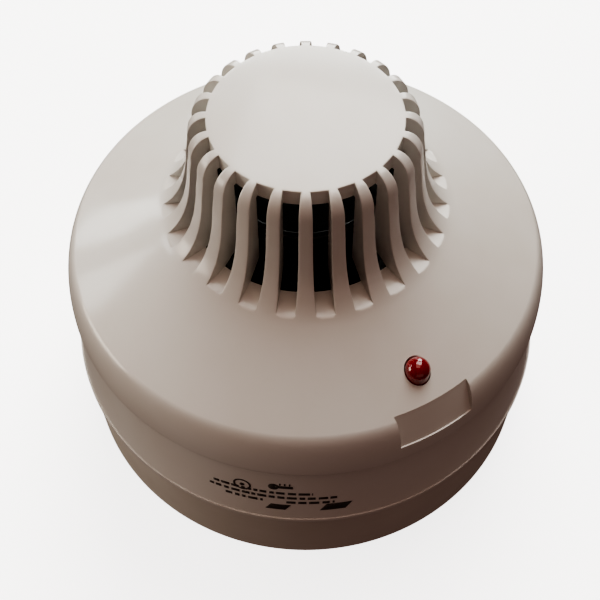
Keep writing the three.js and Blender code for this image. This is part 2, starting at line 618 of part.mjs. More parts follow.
function ledParts() {
  const [x, y] = onAxis(LED_AZIMUTH, LED_RADIUS);
  const dome = shoulderArc(0, ledCentreZ, LED_R, LED_R, 0, Math.PI / 2, 6);
  const body = turned([
    [0, ledFlangeZ], [LED_FLANGE_R, ledFlangeZ], [LED_FLANGE_R, ledFlangeZ + LED_FLANGE_T],
    [LED_R, ledFlangeZ + LED_FLANGE_T], ...dome,
  ], MEDIUM_SEGMENTS);
  add('alarm_led', moved(body, x, y), lensLook);
  const spacer = tube(LED_PITCH / 2 + LED_LEAD_R + GAP, LED_FLANGE_R, onBoardZ, ledFlangeZ - GAP);
  add('led_spacer', moved(spacer, x, y), whiteLook);
  [['left', -1], ['right', 1]].forEach(([name, side]) => {
    const lead = rod(LED_LEAD_R, boardZ - LED_LEAD_TAIL, ledFlangeZ - GAP, THIN_SEGMENTS);
    add(`led_lead_${name}`, moved(lead, x + side * LED_PITCH / 2, y), steelLook);
  });
}

function buzzerParts() {
  const top = onBoardZ + BUZZER.height;
  const inner = BUZZER.radius - BUZZER.wall;
  add('buzzer_case', moved(turned([
    [inner, onBoardZ], [BUZZER.radius, onBoardZ], [BUZZER.radius, top], [BUZZER.vent, top],
    [BUZZER.vent, top - BUZZER.wall], [inner, top - BUZZER.wall],
  ], MEDIUM_SEGMENTS), BUZZER.x, BUZZER.y), blackLook);
  const discZ = onBoardZ + BUZZER.height / 2;
  const disc = rod(BUZZER.discR, discZ, discZ + BUZZER.discT, MEDIUM_SEGMENTS);
  add('buzzer_disc', moved(disc, BUZZER.x, BUZZER.y), brassLook);
}

function radioParts() {
  const radioZ = onBoardZ + RADIO.lift;
  add('radio_board', moved(block(RADIO.w, RADIO.d, radioZ, radioZ + RADIO.t), RADIO.x, RADIO.y), boardLook);
  const shieldZ = radioZ + RADIO.t + GAP;
  const { w, d, h, wall } = SHIELD;
  const hollow = block(w - 2 * wall, d - 2 * wall, shieldZ - PASS, shieldZ + h - wall);
  const can = cut(block(w, d, shieldZ, shieldZ + h), hollow);
  add('radio_shield', moved(can, SHIELD.x, SHIELD.y), steelLook);
  add('radio_header', moved(block(HEADER.w, HEADER.d, onBoardZ, radioZ - GAP), HEADER.x, HEADER.y), blackLook);
  const z = onBoardZ + ANTENNA.lift;
  const arc = Array.from({ length: ANTENNA.steps + 1 }, (_, i) => {
    const azimuth = ANTENNA.from + ((ANTENNA.to - ANTENNA.from) * i) / ANTENNA.steps;
    return [...onAxis(azimuth, ANTENNA.radius), z];
  });
  const [footX, footY] = onAxis(ANTENNA.from, ANTENNA.radius - 0.5);
  const points = [[footX, footY, onBoardZ], [footX, footY, onBoardZ + ANTENNA.lift / 2], ...arc];
  add('antenna_wire', wire(points, ANTENNA.wireR, 30), brassLook);
}

function boardParts() {
  const chip = (part) => moved(block(part.w, part.d, onBoardZ, onBoardZ + part.h), part.x, part.y);
  const can = ({ radius, height, x, y }) =>
    moved(rod(radius, onBoardZ, onBoardZ + height, MEDIUM_SEGMENTS), x, y);
  add('controller_chip', chip(CHIP), blackLook);
  add('crystal', chip(CRYSTAL), steelLook);
  add('voltage_regulator', chip(REGULATOR), blackLook);
  add('storage_capacitor', can(CAPACITOR), cellLook);
  add('inductor', can(INDUCTOR), blackLook);
  const headerTop = onBoardZ + JUMPER.h;
  const { pin: side, pitch } = JUMPER;
  const post = block(side, side, headerTop - JUMPER.root, onBoardZ + JUMPER.pinH);
  const pin = (y) => moved(post.clone(), JUMPER.x, JUMPER.y + y);
  const header = join(moved(block(JUMPER.w, JUMPER.d, onBoardZ, headerTop), JUMPER.x, JUMPER.y),
    pin(-pitch), pin(0), pin(pitch));
  add('jumper_header', header, blackLook);
  const sleeve = block(JUMPER.w, 2 * pitch, headerTop + GAP, headerTop + GAP + JUMPER.cap);
  const wayTop = headerTop + JUMPER.cap + PASS;
  const way = block(side + 2 * GAP, pitch + side + 2 * GAP, headerTop, wayTop);
  add('jumper_cap', moved(cut(sleeve, way), JUMPER.x, JUMPER.y + pitch / 2), whiteLook);
  const reference = shoulderArc(0, 0, REFERENCE.radius, REFERENCE.length / 2, -Math.PI / 2, Math.PI / 2, 8);
  const lying = turned(reference, SMALL_SEGMENTS).rotateY(Math.PI / 2);
  lying.translate(REFERENCE.x, REFERENCE.y, onBoardZ + REFERENCE.radius);
  add('reference_thermistor', lying, beadLook);
}

// ---- Tamper plunger and pairing button ----
function switchBody() {
  const body = block(SWITCH_W, SWITCH_W, switchZ, switchZ + SWITCH_H);
  return cut(body, rod(STEM_R + STEM_CLEARANCE, switchZ - PASS, switchZ + SWITCH_BORE_DEPTH));
}

function switchParts() {
  const tamperAt = onAxis(TAMPER_AZIMUTH, switchRadius);
  const pairingAt = onAxis(PAIRING_AZIMUTH, switchRadius);
  const stemTop = switchZ + STEM_ENTRY;
  add('tamper_switch', moved(switchBody(), ...tamperAt), blackLook);
  add('pairing_switch', moved(switchBody(), ...pairingAt), blackLook);
  const tamperZ = plateZ - TAMPER_REACH;
  const collarZ = plateTopZ + TAMPER_COLLAR_LIFT;
  add('tamper_plunger', moved(turned([
    [0, tamperZ], [TAMPER_CAP_R - TAMPER_CAP_EDGE, tamperZ], [TAMPER_CAP_R, tamperZ + TAMPER_CAP_EDGE],
    [TAMPER_CAP_R, tamperZ + TAMPER_CAP_L], [STEM_R, tamperZ + TAMPER_CAP_L], [STEM_R, collarZ],
    [TAMPER_COLLAR_R, collarZ], [TAMPER_COLLAR_R, collarZ + TAMPER_COLLAR_T],
    [STEM_R, collarZ + TAMPER_COLLAR_T], [STEM_R, stemTop], [0, stemTop],
  ], SMALL_SEGMENTS), ...tamperAt), whiteLook);
  const springZ = collarZ + TAMPER_COLLAR_T + GAP + TAMPER_SPRING_WIRE_R;
  const springLength = switchZ - GAP - TAMPER_SPRING_WIRE_R - springZ;
  const spring = coil(TAMPER_SPRING_R, TAMPER_SPRING_WIRE_R, TAMPER_SPRING_TURNS, springLength);
  add('tamper_spring', moved(spring, ...tamperAt, springZ), steelLook);
  const pairingZ = plateZ - PAIRING_REACH;
  add('pairing_button', moved(turned([
    [0, pairingZ], [PAIRING_CAP_R, pairingZ], [PAIRING_CAP_R, plateTopZ + 2], [STEM_R, plateTopZ + 2],
    [STEM_R, stemTop], [0, stemTop],
  ], SMALL_SEGMENTS), ...pairingAt), lensLook);
}

add('mounting_base', mountingBase(), baseLook);
add('outer_cover', outerCover(), shellLook);
add('rear_housing', rearHousing(), innerLook);
add('circuit_board', circuitBoard(), boardLook);
cellParts();
screwParts();
sensorParts();
ledParts();
buzzerParts();
radioParts();
boardParts();
switchParts();

export default detector;
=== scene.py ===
"""A ceiling heat detector with its dome up: the slotted cover, the mounting base under it, the lens, the
dark sensor tower inside, and the board, cells and screws that they hide.

Sizes are in millimetres and are made metres as each mesh is finished; lights and the camera are placed
in metres. Azimuths are in degrees from the front (-Y) towards the right (+X).
"""
import math
import random

import bmesh
import bpy
from mathutils import Matrix, Vector


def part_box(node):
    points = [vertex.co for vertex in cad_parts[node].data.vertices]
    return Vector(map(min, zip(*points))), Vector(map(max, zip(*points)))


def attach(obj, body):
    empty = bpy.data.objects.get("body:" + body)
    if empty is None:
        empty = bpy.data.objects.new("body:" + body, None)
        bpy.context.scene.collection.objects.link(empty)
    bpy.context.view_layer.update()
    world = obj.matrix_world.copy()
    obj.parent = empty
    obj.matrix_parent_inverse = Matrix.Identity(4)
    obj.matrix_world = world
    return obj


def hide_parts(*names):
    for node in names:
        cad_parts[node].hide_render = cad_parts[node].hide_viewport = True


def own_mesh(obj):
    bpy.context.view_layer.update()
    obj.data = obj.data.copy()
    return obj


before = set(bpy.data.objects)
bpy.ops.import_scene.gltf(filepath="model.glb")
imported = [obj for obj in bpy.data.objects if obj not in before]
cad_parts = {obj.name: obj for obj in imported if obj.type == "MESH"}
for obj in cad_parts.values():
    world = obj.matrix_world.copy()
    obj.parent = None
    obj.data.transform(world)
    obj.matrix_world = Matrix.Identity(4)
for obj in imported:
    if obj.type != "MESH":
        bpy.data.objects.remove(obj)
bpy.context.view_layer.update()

MM = 0.001
TINY = 1e-6
FULL_TURN = 2 * math.pi


# ---- Sizes shared with the CAD part ----
SEAM_GAP = 0.3
BASE_R = 54.0
BASE_TOP_R = 53.8
BASE_WALL = 2.4
BASE_FLOOR = 2.4
FOOT_BEVEL = 0.6
GROOVE_W = 2.0
INNER_GROOVE_R = 17.0
INNER_GROOVE_DEPTH = 0.5
OUTER_GROOVE_R = 46.5
OUTER_GROOVE_DEPTH = 0.6
KEYHOLE_X = 32.0
KEYHOLE_HEAD_R = 4.3
KEYHOLE_SLOT_W = 4.6
KEYHOLE_SLOT_L = 9.0
KEYHOLE_TOOL_Z = (-1, 5)

RIM_R = 54.3
RIM_H = 1.3
RIM_STEP = 0.3
WAIST_R = 51.6
WAIST_H = 18.4
WALL_HOLLOW = 0.2  # how far the wall's middle height lies inside a straight flare
WALL_HEIGHTS = (3.4, 5, 6.7, 8.5, 10.3, 12.1, 13.9, 15.6, 17.1)  # of the rows above the seam
SHOULDER_R = 52.5
SHOULDER_H = 21.3
SHOULDER_ROUND_R = 3.8
SHOULDER_ROUND_H = 11.2
CONE_ANGLE = 27.0
COVER_WALL = 2.2
CONE_WALL = 2.5

CAGE_FOOT_R = 29.1
CAGE_H = 24.0
DISC_R = 18.7
BORE_STEP = 0.4
DISC_CROWN = 0.8
DISC_RADII = (17.6, 15.5, 12.5, 9, 5.5, 2.5)  # of the rows across the disc
DISC_T = 2.2
DISC_SKIRT_H = 3.6
DISC_SKIRT_W = 2.1
CAGE_NECK_R = 22.6
CAGE_NECK_DROP = 5.3
CAGE_MID_R = 23.2
CAGE_MID_DROP = 8.8
FLARE_START = 2.2
FLARE_PULL = 4.9
FLARE_TOP_PULL = 0.58
SLOT_COUNT = 24
SLOT_TOP_W = 3.2
SLOT_FOOT_W = 3.6

LED_AZIMUTH = 30.0
LED_RADIUS = 42.9
LED_R = 2.5
LED_FLANGE_R = 2.9
LED_FLANGE_T = 1.0
LED_BODY_H = 6.1
LED_PROUD = 0.4
LENS_GAP = 0.15
RECESS_W = 16.7
RECESS_LEDGE_H = 25.6
RECESS_LEDGE = 0.6
RECESS_TILT = 25.0
CREASE_ANGLE = 9.0  # an edge that turns more is part of the recess's outline
CREASE_SPAN = 12.0  # degrees either side of the lens
CREASE_LIFT = 3.5  # of the lowest crease over the shoulder

TOWER_R = 16.5
TOWER_WALL = 1.6
TOWER_FOOT_R = 18.5
TOWER_FOOT_T = 1.6
LID_T = 1.0
LID_RIM_H = 1.0
LID_RIM_W = 1.5
LID_BORE_R = 3.3

COVER_POST_RADIUS = 44.4
POST_R = 3.0
POST_BORE_R = 1.7
POST_BORE_DEPTH = 9.0
PLATE_TOP_LIFT = 2.6

TAB_R = 44.6
TAB_ARM_T = 2.3
TAB_DROP = 9.9
TAB_FOOT_T = 2.2
TAB_HALF_ANGLE = 4.0
PLATE_LIFT = 0.6
SHELF_T = 2.0
SHELF_HALF_ANGLE = 6.0
STOP_HALF_ANGLE = 1.2
LOCK_LEAD = 1.0
LOCK_CLEARANCE = 0.4
LOCK_SIDE_CLEARANCE = 0.6
TAMPER_AZIMUTH = 150.0
TAMPER_RADIUS = 30.0
TAMPER_POST_R = 3.0
TAMPER_REACH = 3.0
SPRING_WIRE_R = 0.3
SPRING_TURNS = 5
SPRING_STEPS = 28  # in each turn

LEG_TOP = 0.95
LEG_BENDS = (-0.05, 0.25, 0.4, 0.55, 0.95)  # outwards from the chip's side
LEG_W = 0.4
LEG_T = 0.16
RESISTOR_X = -6.0
RESISTOR_Y = 21.0
RESISTOR_L = 2.0
RESISTOR_W = 1.2
RESISTOR_H = 0.5
RESISTOR_END = 0.3
RESISTOR_STEP = 2.6
RESISTOR_COUNT = 5
HEADER_PITCH = 3.0
HEADER_PINS = 5

# ---- Heights, read from the frame or worked out ----
BASE_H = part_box("mounting_base")[1].z / MM
SEAM_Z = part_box("outer_cover")[0].z / MM
SHOULDER_Z = SEAM_Z + SHOULDER_H
CONE_SLOPE = math.tan(math.radians(CONE_ANGLE))
SHOULDER_TURN = math.atan2(SHOULDER_ROUND_H, SHOULDER_ROUND_R * CONE_SLOPE)
CONE_FOOT_R = SHOULDER_R - SHOULDER_ROUND_R * (1 - math.cos(SHOULDER_TURN))
CONE_FOOT_Z = SHOULDER_Z + SHOULDER_ROUND_H * math.sin(SHOULDER_TURN)
CONE_DROP = CONE_WALL / math.cos(math.radians(CONE_ANGLE))


def cone_z(r):
    return CONE_FOOT_Z + (CONE_FOOT_R - r) * CONE_SLOPE


FLOOR_Z = cone_z(CAGE_FOOT_R)
EDGE_Z = FLOOR_Z + CAGE_H
SKIRT_Z = EDGE_Z - DISC_SKIRT_H
BORE_R = DISC_R + BORE_STEP
PLATE_Z = SEAM_Z + PLATE_LIFT
LED_CENTRE_Z = cone_z(LED_RADIUS) + LED_PROUD
LED_FLANGE_Z = LED_CENTRE_Z - LED_BODY_H
BOARD_TOP_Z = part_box("circuit_board")[1].z / MM


# ---- Helpers for shapes ----
def on_axis(azimuth, radius):
    turn = math.radians(azimuth)
    return radius * math.sin(turn), -radius * math.cos(turn)


def round_the_axis(r, z, azimuth):
    x, y = on_axis(azimuth, r)
    return Vector((x, y, z))


def filleted(corners, steps=4):
    """A closed outline of [r, z, rounding] corners, with each corner rounded."""
    outline = []
    count = len(corners)
    for i, (r, z, rounding) in enumerate(corners):
        here = Vector((r, z))
        before = Vector(corners[i - 1][:2]) - here
        after = Vector(corners[(i + 1) % count][:2]) - here
        if rounding < TINY or r < TINY:
            outline.append((r, z))
            continue
        reach = min(rounding, 0.45 * before.length, 0.45 * after.length)
        start = here + before.normalized() * reach
        end = here + after.normalized() * reach
        for k in range(steps + 1):
            t = k / steps
            point = start * (1 - t) ** 2 + here * (2 * t * (1 - t)) + end * t ** 2
            outline.append((point.x, point.y))
    return outline


def add_revolved(bm, outline, segments=96, centre=(0.0, 0.0)):
    """Adds a closed solid of revolution of [r, z] points, as quads, to a mesh in millimetres."""
    rings = []
    for r, z in outline:
        if r < TINY:
            rings.append([bm.verts.new((centre[0], centre[1], z))])
            continue
        ring = [round_the_axis(r, z, 360 * i / segments) for i in range(segments)]
        rings.append([bm.verts.new((p.x + centre[0], p.y + centre[1], p.z)) for p in ring])
    for low, high in zip(rings, rings[1:] + rings[:1]):
        if len(low) == 1 and len(high) == 1:
            continue
        for i in range(segments):
            j = (i + 1) % segments
            corners = [low[i % len(low)], low[j % len(low)], high[j % len(high)], high[i % len(high)]]
            kept = [v for k, v in enumerate(corners) if v not in corners[:k]]
            bm.faces.new(kept)


def add_block(bm, low, high):
    """Adds a box between two corners, in millimetres."""
    middle = (Vector(low) + Vector(high)) / 2
    size = Vector(high) - Vector(low)
    place = Matrix.Translation(middle) @ Matrix.Diagonal((*size, 1))
    bmesh.ops.create_cube(bm, size=1, matrix=place)


def add_sector(bm, r_in, r_out, start, end, z0, z1):
    """Adds a piece of a flat ring, between two azimuths, in millimetres."""
    steps = 6
    columns = []
    for i in range(steps + 1):
        azimuth = start + (end - start) * i / steps
        ends = [(r_in, z0), (r_out, z0), (r_out, z1), (r_in, z1)]
        columns.append([bm.verts.new(round_the_axis(r, z, azimuth)) for r, z in ends])
    for left, right in zip(columns, columns[1:]):
        for k in range(4):
            m = (k + 1) % 4
            bm.faces.new((left[k], right[k], right[m], left[m]))
    bm.faces.new(columns[0])
    bm.faces.new(reversed(columns[-1]))


def round_edges(bm, width, sharpest=35.0, segments=2):
    """Rounds the outward edges that turn more than an angle."""
    bmesh.ops.recalc_face_normals(bm, faces=bm.faces)
    limit = math.radians(sharpest)
    edges = [e for e in bm.edges if e.is_manifold and e.is_convex and e.calc_face_angle(0) > limit]
    bmesh.ops.bevel(
        bm, geom=edges, offset=width, offset_type="OFFSET", segments=segments, profile=0.5,
        affect="EDGES", clamp_overlap=True, loop_slide=True,
    )


def finished(name, bm, material, smooth=40.0, outwards=True):
    """Makes an object in metres of a mesh in millimetres, with one material and its soft edges smooth."""
    if outwards:
        bmesh.ops.recalc_face_normals(bm, faces=bm.faces)
    bmesh.ops.scale(bm, vec=(MM, MM, MM), verts=bm.verts)
    mesh = bpy.data.meshes.new(name)
    bm.to_mesh(mesh)
    bm.free()
    mesh.materials.append(material)
    piece = bpy.data.objects.new(name, mesh)
    bpy.context.scene.collection.objects.link(piece)
    soften(piece, smooth)
    return piece


def soften(piece, smooth=40.0):
    piece.data.shade_smooth()
    piece.data.set_sharp_from_angle(angle=math.radians(smooth))


def settle(piece):
    """Turns a piece and its modifiers into a plain mesh."""
    bpy.context.view_layer.update()
    view = bpy.context.evaluated_depsgraph_get()
    settled = bpy.data.meshes.new_from_object(piece.evaluated_get(view))
    piece.modifiers.clear()
    piece.data = settled
    return piece


def combine(piece, tool, operation):
    """Cuts a tool from a piece, or joins it to it, and removes the tool."""
    modifier = piece.modifiers.new("combine", "BOOLEAN")
    modifier.operation = operation
    modifier.solver = "EXACT"
    modifier.object = tool
    settle(piece)
    bpy.data.objects.remove(tool)
    return piece


def even_shading(piece):
    """Keeps flat faces flat beside their rounded edges."""
    modifier = piece.modifiers.new("even shading", "WEIGHTED_NORMAL")
    modifier.keep_sharp = True
    modifier.weight = 60
    return settle(piece)


# ---- Geometry Nodes ----
def node_tree(name, inputs):
    """A geometry tree with its named inputs, and its group input and output nodes."""
    tree = bpy.data.node_groups.new(name, "GeometryNodeTree")
    tree.interface.new_socket("Geometry", in_out="INPUT", socket_type="NodeSocketGeometry")
    for label, kind in inputs:
        tree.interface.new_socket(label, in_out="INPUT", socket_type=kind)
    tree.interface.new_socket("Geometry", in_out="OUTPUT", socket_type="NodeSocketGeometry")
    start = tree.nodes.new("NodeGroupInput")
    end = tree.nodes.new("NodeGroupOutput")
    return tree, start, end


def math_node(tree, operation, a, b):
    node = tree.nodes.new("ShaderNodeMath")
    node.operation = operation
    for socket, value in zip(node.inputs, (a, b)):
        if isinstance(value, (int, float)):
            socket.default_value = value
        else:
            tree.links.new(value, socket)
    return node.outputs[0]


def round_pattern():
    """Repeats a piece round the Z axis, welds the copies where they meet, and gives them a material."""
    tree, start, end = node_tree("round_pattern", [
        ("Count", "NodeSocketInt"), ("First", "NodeSocketFloat"),
        ("Weld", "NodeSocketFloat"), ("Material", "NodeSocketMaterial"),
    ])
    join = tree.links.new
    line = tree.nodes.new("GeometryNodeMeshLine")
    line.inputs["Offset"].default_value = (0, 0, 0)
    join(start.outputs["Count"], line.inputs["Count"])
    step = math_node(tree, "DIVIDE", FULL_TURN, start.outputs["Count"])
    index = tree.nodes.new("GeometryNodeInputIndex")
    turn = math_node(tree, "ADD", math_node(tree, "MULTIPLY", index.outputs[0], step), start.outputs["First"])
    angles = tree.nodes.new("ShaderNodeCombineXYZ")
    join(turn, angles.inputs["Z"])
    copies = tree.nodes.new("GeometryNodeInstanceOnPoints")
    join(line.outputs["Mesh"], copies.inputs["Points"])
    join(start.outputs["Geometry"], copies.inputs["Instance"])
    join(angles.outputs[0], copies.inputs["Rotation"])
    real = tree.nodes.new("GeometryNodeRealizeInstances")
    join(copies.outputs[0], real.inputs[0])
    weld = tree.nodes.new("GeometryNodeMergeByDistance")
    join(real.outputs[0], weld.inputs["Geometry"])
    join(start.outputs["Weld"], weld.inputs["Distance"])
    paint = tree.nodes.new("GeometryNodeSetMaterial")
    join(weld.outputs[0], paint.inputs["Geometry"])
    join(start.outputs["Material"], paint.inputs["Material"])
    join(paint.outputs[0], end.inputs[0])
    return tree


def row_pattern():
    """Repeats a piece along a straight row and gives the copies a material."""
    tree, start, end = node_tree("row_pattern", [
        ("Count", "NodeSocketInt"), ("Step", "NodeSocketVector"), ("Material", "NodeSocketMaterial"),
    ])
    join = tree.links.new
    line = tree.nodes.new("GeometryNodeMeshLine")
    join(start.outputs["Count"], line.inputs["Count"])
    join(start.outputs["Step"], line.inputs["Offset"])
    copies = tree.nodes.new("GeometryNodeInstanceOnPoints")
    join(line.outputs["Mesh"], copies.inputs["Points"])
    join(start.outputs["Geometry"], copies.inputs["Instance"])
    real = tree.nodes.new("GeometryNodeRealizeInstances")
    join(copies.outputs[0], real.inputs[0])
    paint = tree.nodes.new("GeometryNodeSetMaterial")
    join(real.outputs[0], paint.inputs["Geometry"])
    join(start.outputs["Material"], paint.inputs["Material"])
    join(paint.outputs[0], end.inputs[0])
    return tree


def set_inputs(modifier, values):
    sockets = modifier.node_group.interface.items_tree
    for socket in sockets:
        if socket.in_out == "INPUT" and socket.name in values:
            modifier[socket.identifier] = values[socket.name]


def repeated(piece, count, material, first=0.0, weld=0.0):
    """Replaces a piece by count copies of it round the axis."""
    modifier = piece.modifiers.new("round pattern", "NODES")
    modifier.node_group = trees["round"]
    values = {"Count": count, "First": math.radians(first), "Weld": weld * MM, "Material": material}
    set_inputs(modifier, values)
    return settle(piece)


def in_a_row(piece, count, step, material):
    """Replaces a piece by count copies of it, each a step in millimetres from the last."""
    modifier = piece.modifiers.new("row pattern", "NODES")
    modifier.node_group = trees["row"]
    set_inputs(modifier, {"Count": count, "Step": Vector(step) * MM, "Material": material})
    return settle(piece)


trees = {"round": round_pattern(), "row": row_pattern()}


# ---- Materials ----
def preset(shader, **values):
    """Sets inputs to fixed values; an underscore in a name stands for a space."""
    for name, value in values.items():
        shader.inputs[name.replace("_", " ")].default_value = value


def new_material(name, **values):
    material = bpy.data.materials.new(name)
    material.use_nodes = True
    shader = material.node_tree.nodes["Principled BSDF"]
    preset(shader, **values)
    return material, shader


def place_coordinates(material):
    return material.node_tree.nodes.new("ShaderNodeTexCoord").outputs["Object"]


def noise(material, size, detail=2.0, roughness=0.5, stretch=None):
    """A noise whose features are about a size in millimetres."""
    tree = material.node_tree
    node = tree.nodes.new("ShaderNodeTexNoise")
    node.inputs["Scale"].default_value = 1 / (size * MM)
    node.inputs["Detail"].default_value = detail
    node.inputs["Roughness"].default_value = roughness
    coordinates = place_coordinates(material)
    if stretch:
        mapping = tree.nodes.new("ShaderNodeMapping")
        mapping.inputs["Scale"].default_value = stretch
        tree.links.new(coordinates, mapping.inputs["Vector"])
        coordinates = mapping.outputs[0]
    tree.links.new(coordinates, node.inputs["Vector"])
    return node.outputs["Fac"]


def ramp(material, source, stops):
    """Colours for a value: stops are (position, colour)."""
    node = material.node_tree.nodes.new("ShaderNodeValToRGB")
    elements = node.color_ramp.elements
    while len(elements) < len(stops):
        elements.new(0.5)
    for element, (position, colour) in zip(elements, stops):
        element.position = position
        element.color = (*colour, 1)
    material.node_tree.links.new(source, node.inputs[0])
    return node.outputs["Color"]


def spread(material, source, low, high, start=0.3, end=0.7):
    """Maps a value from start..end to low..high."""
    node = material.node_tree.nodes.new("ShaderNodeMapRange")
    for label, value in (("From Min", start), ("From Max", end), ("To Min", low), ("To Max", high)):
        node.inputs[label].default_value = value
    material.node_tree.links.new(source, node.inputs["Value"])
    return node.outputs["Result"]


def mixed(material, factor, a, b, blend="MIX"):
    """Blends two colours. Each is a socket or a plain colour, and so is the factor."""
    node = material.node_tree.nodes.new("ShaderNodeMix")
    node.data_type = "RGBA"
    node.blend_type = blend
    sockets = [node.inputs[0], node.inputs[6], node.inputs[7]]
    for socket, value in zip(sockets, (factor, a, b)):
        if isinstance(value, (int, float)):
            socket.default_value = value
        elif isinstance(value, tuple):
            socket.default_value = (*value, 1)
        else:
            material.node_tree.links.new(value, socket)
    return node.outputs[2]


def bump(material, shader, height, depth, strength=1.0, under=None):
    """Adds a bump whose height is about depth millimetres."""
    node = material.node_tree.nodes.new("ShaderNodeBump")
    node.inputs["Strength"].default_value = strength
    node.inputs["Distance"].default_value = depth * MM
    material.node_tree.links.new(height, node.inputs["Height"])
    if under:
        material.node_tree.links.new(under, node.inputs["Normal"])
    material.node_tree.links.new(node.outputs[0], shader.inputs["Normal"])
    return node.outputs[0]


def feed(material, shader, label, source):
    material.node_tree.links.new(source, shader.inputs[label])


def mottled(material, shader, size, dark, light, detail=2, roughness=0.5, start=0.3, end=0.7):
    """Feeds the base colour from a noise between two tones."""
    source = noise(material, size, detail, roughness)
    feed(material, shader, "Base Color", ramp(material, source, [(start, dark), (end, light)]))


def uneven_gloss(material, shader, size, smooth, rough, detail=3, roughness=0.5):
    """Feeds the roughness from a noise between two values."""
    source = noise(material, size, detail, roughness)
    feed(material, shader, "Roughness", spread(material, source, smooth, rough))


def cover_plastic():
    """Ivory ABS from a polished mould: slightly uneven, with a fine grain and a soft gloss."""
    material, shader = new_material("ivory_plastic")
    patches = noise(material, 34, 3, 0.6)
    colour = ramp(material, patches, [
        (0.30, (0.655, 0.625, 0.575)), (0.52, (0.685, 0.665, 0.625)), (0.72, (0.70, 0.685, 0.65)),
    ])
    dust = spread(material, noise(material, 1.1, 4, 0.7), 0.0, 0.10, 0.60, 0.82)
    feed(material, shader, "Base Color", mixed(material, dust, colour, (0.50, 0.46, 0.40)))
    uneven_gloss(material, shader, 12, 0.34, 0.44)
    preset(shader, Coat_Weight=0.5, Coat_Roughness=0.13, Specular_IOR_Level=0.45)
    waviness = bump(material, shader, noise(material, 16, 1), 0.05, 0.35)
    bump(material, shader, noise(material, 0.35, 2, 0.6), 0.008, 0.35, waviness)
    return material


def base_plastic():
    """The base's plastic: a shade greyer and rougher than the cover's."""
    material, shader = new_material("base_plastic")
    mottled(material, shader, 26, (0.55, 0.515, 0.46), (0.61, 0.58, 0.53), 3, 0.6)
    uneven_gloss(material, shader, 9, 0.42, 0.54)
    preset(shader, Coat_Weight=0.12, Coat_Roughness=0.3)
    bump(material, shader, noise(material, 0.4, 2, 0.6), 0.014, 0.5)
    return material


def inner_plastic():
    material, shader = new_material("inner_plastic")
    mottled(material, shader, 22, (0.53, 0.50, 0.45), (0.58, 0.56, 0.51))
    uneven_gloss(material, shader, 7, 0.5, 0.62, 2)
    bump(material, shader, noise(material, 0.5, 2), 0.02, 0.5)
    return material


def tower_plastic():
    """Polished black, with the faint haze of fingerprints."""
    material, shader = new_material("black_polished_plastic")
    mottled(material, shader, 10, (0.004, 0.004, 0.005), (0.010, 0.010, 0.011), 3, start=0.35)
    uneven_gloss(material, shader, 5, 0.10, 0.24, 4, 0.6)
    bump(material, shader, noise(material, 6, 2), 0.02, 0.3)
    return material


def black_plastic():
    material, shader = new_material("black_plastic")
    mottled(material, shader, 2.5, (0.010, 0.010, 0.011), (0.020, 0.020, 0.021), 3, start=0.35)
    uneven_gloss(material, shader, 1.5, 0.36, 0.55)
    bump(material, shader, noise(material, 0.25, 2), 0.01, 0.6)
    return material


def white_plastic():
    material, shader = new_material("white_nylon")
    mottled(material, shader, 4, (0.70, 0.69, 0.65), (0.78, 0.77, 0.73))
    uneven_gloss(material, shader, 2, 0.42, 0.55, 2)
    bump(material, shader, noise(material, 0.3, 2), 0.01, 0.5)
    return material


def lens_plastic():
    """Tinted clear resin, deep red, with moulding swirls."""
    material, shader = new_material("red_lens", Roughness=0.04)
    mottled(material, shader, 1.4, (0.26, 0.003, 0.008), (0.36, 0.006, 0.012))
    preset(shader, Transmission_Weight=0.25, IOR=1.52, Coat_Weight=0.6, Coat_Roughness=0.03)
    bump(material, shader, noise(material, 1.2, 1), 0.01, 0.25)
    return material


def button_plastic():
    material, shader = new_material("red_button_plastic")
    mottled(material, shader, 3, (0.42, 0.014, 0.016), (0.50, 0.020, 0.022))
    uneven_gloss(material, shader, 1, 0.35, 0.5, 2)
    return material


TRACK_PITCH = 9.0
SLEEVE_BAND = (8.5, 8.7)


def board_lacquer():
    """Green solder lacquer with copper tracks showing through it."""
    material, shader = new_material("board_lacquer")
    tree = material.node_tree
    tracks = tree.nodes.new("ShaderNodeTexBrick")
    tracks.inputs["Scale"].default_value = 1 / (TRACK_PITCH * MM)
    tracks.inputs["Mortar Size"].default_value = 0.035
    tracks.inputs["Mortar Smooth"].default_value = 0.2
    tracks.inputs["Color1"].default_value = (0.004, 0.066, 0.022, 1)
    tracks.inputs["Color2"].default_value = (0.004, 0.056, 0.019, 1)
    tracks.inputs["Mortar"].default_value = (0.020, 0.150, 0.050, 1)
    tree.links.new(place_coordinates(material), tracks.inputs["Vector"])
    shade = ramp(material, noise(material, 15, 2), [(0.3, (0.85, 0.85, 0.85)), (0.7, (1.0, 1.0, 1.0))])
    feed(material, shader, "Base Color", mixed(material, 1.0, tracks.outputs["Color"], shade, "MULTIPLY"))
    uneven_gloss(material, shader, 3, 0.22, 0.36)
    bump(material, shader, tracks.outputs["Fac"], 0.03, 0.6)
    return material


def metal(name, dark, light, grain, smooth, rough):
    """Rolled metal: fine scratches along one way, and a patchy polish."""
    material, shader = new_material(name, Metallic=1.0)
    mottled(material, shader, 3, dark, light, 3)
    scratches = noise(material, grain, 4, 0.7, stretch=(0.15, 1, 1))
    feed(material, shader, "Roughness", spread(material, scratches, smooth, rough))
    bump(material, shader, scratches, 0.004, 0.4)
    return material


def bead_resin():
    material, shader = new_material("bead_resin")
    mottled(material, shader, 0.8, (0.020, 0.018, 0.018), (0.045, 0.040, 0.038), 3)
    preset(shader, Roughness=0.2)
    bump(material, shader, noise(material, 0.6, 2), 0.05, 0.5)
    return material


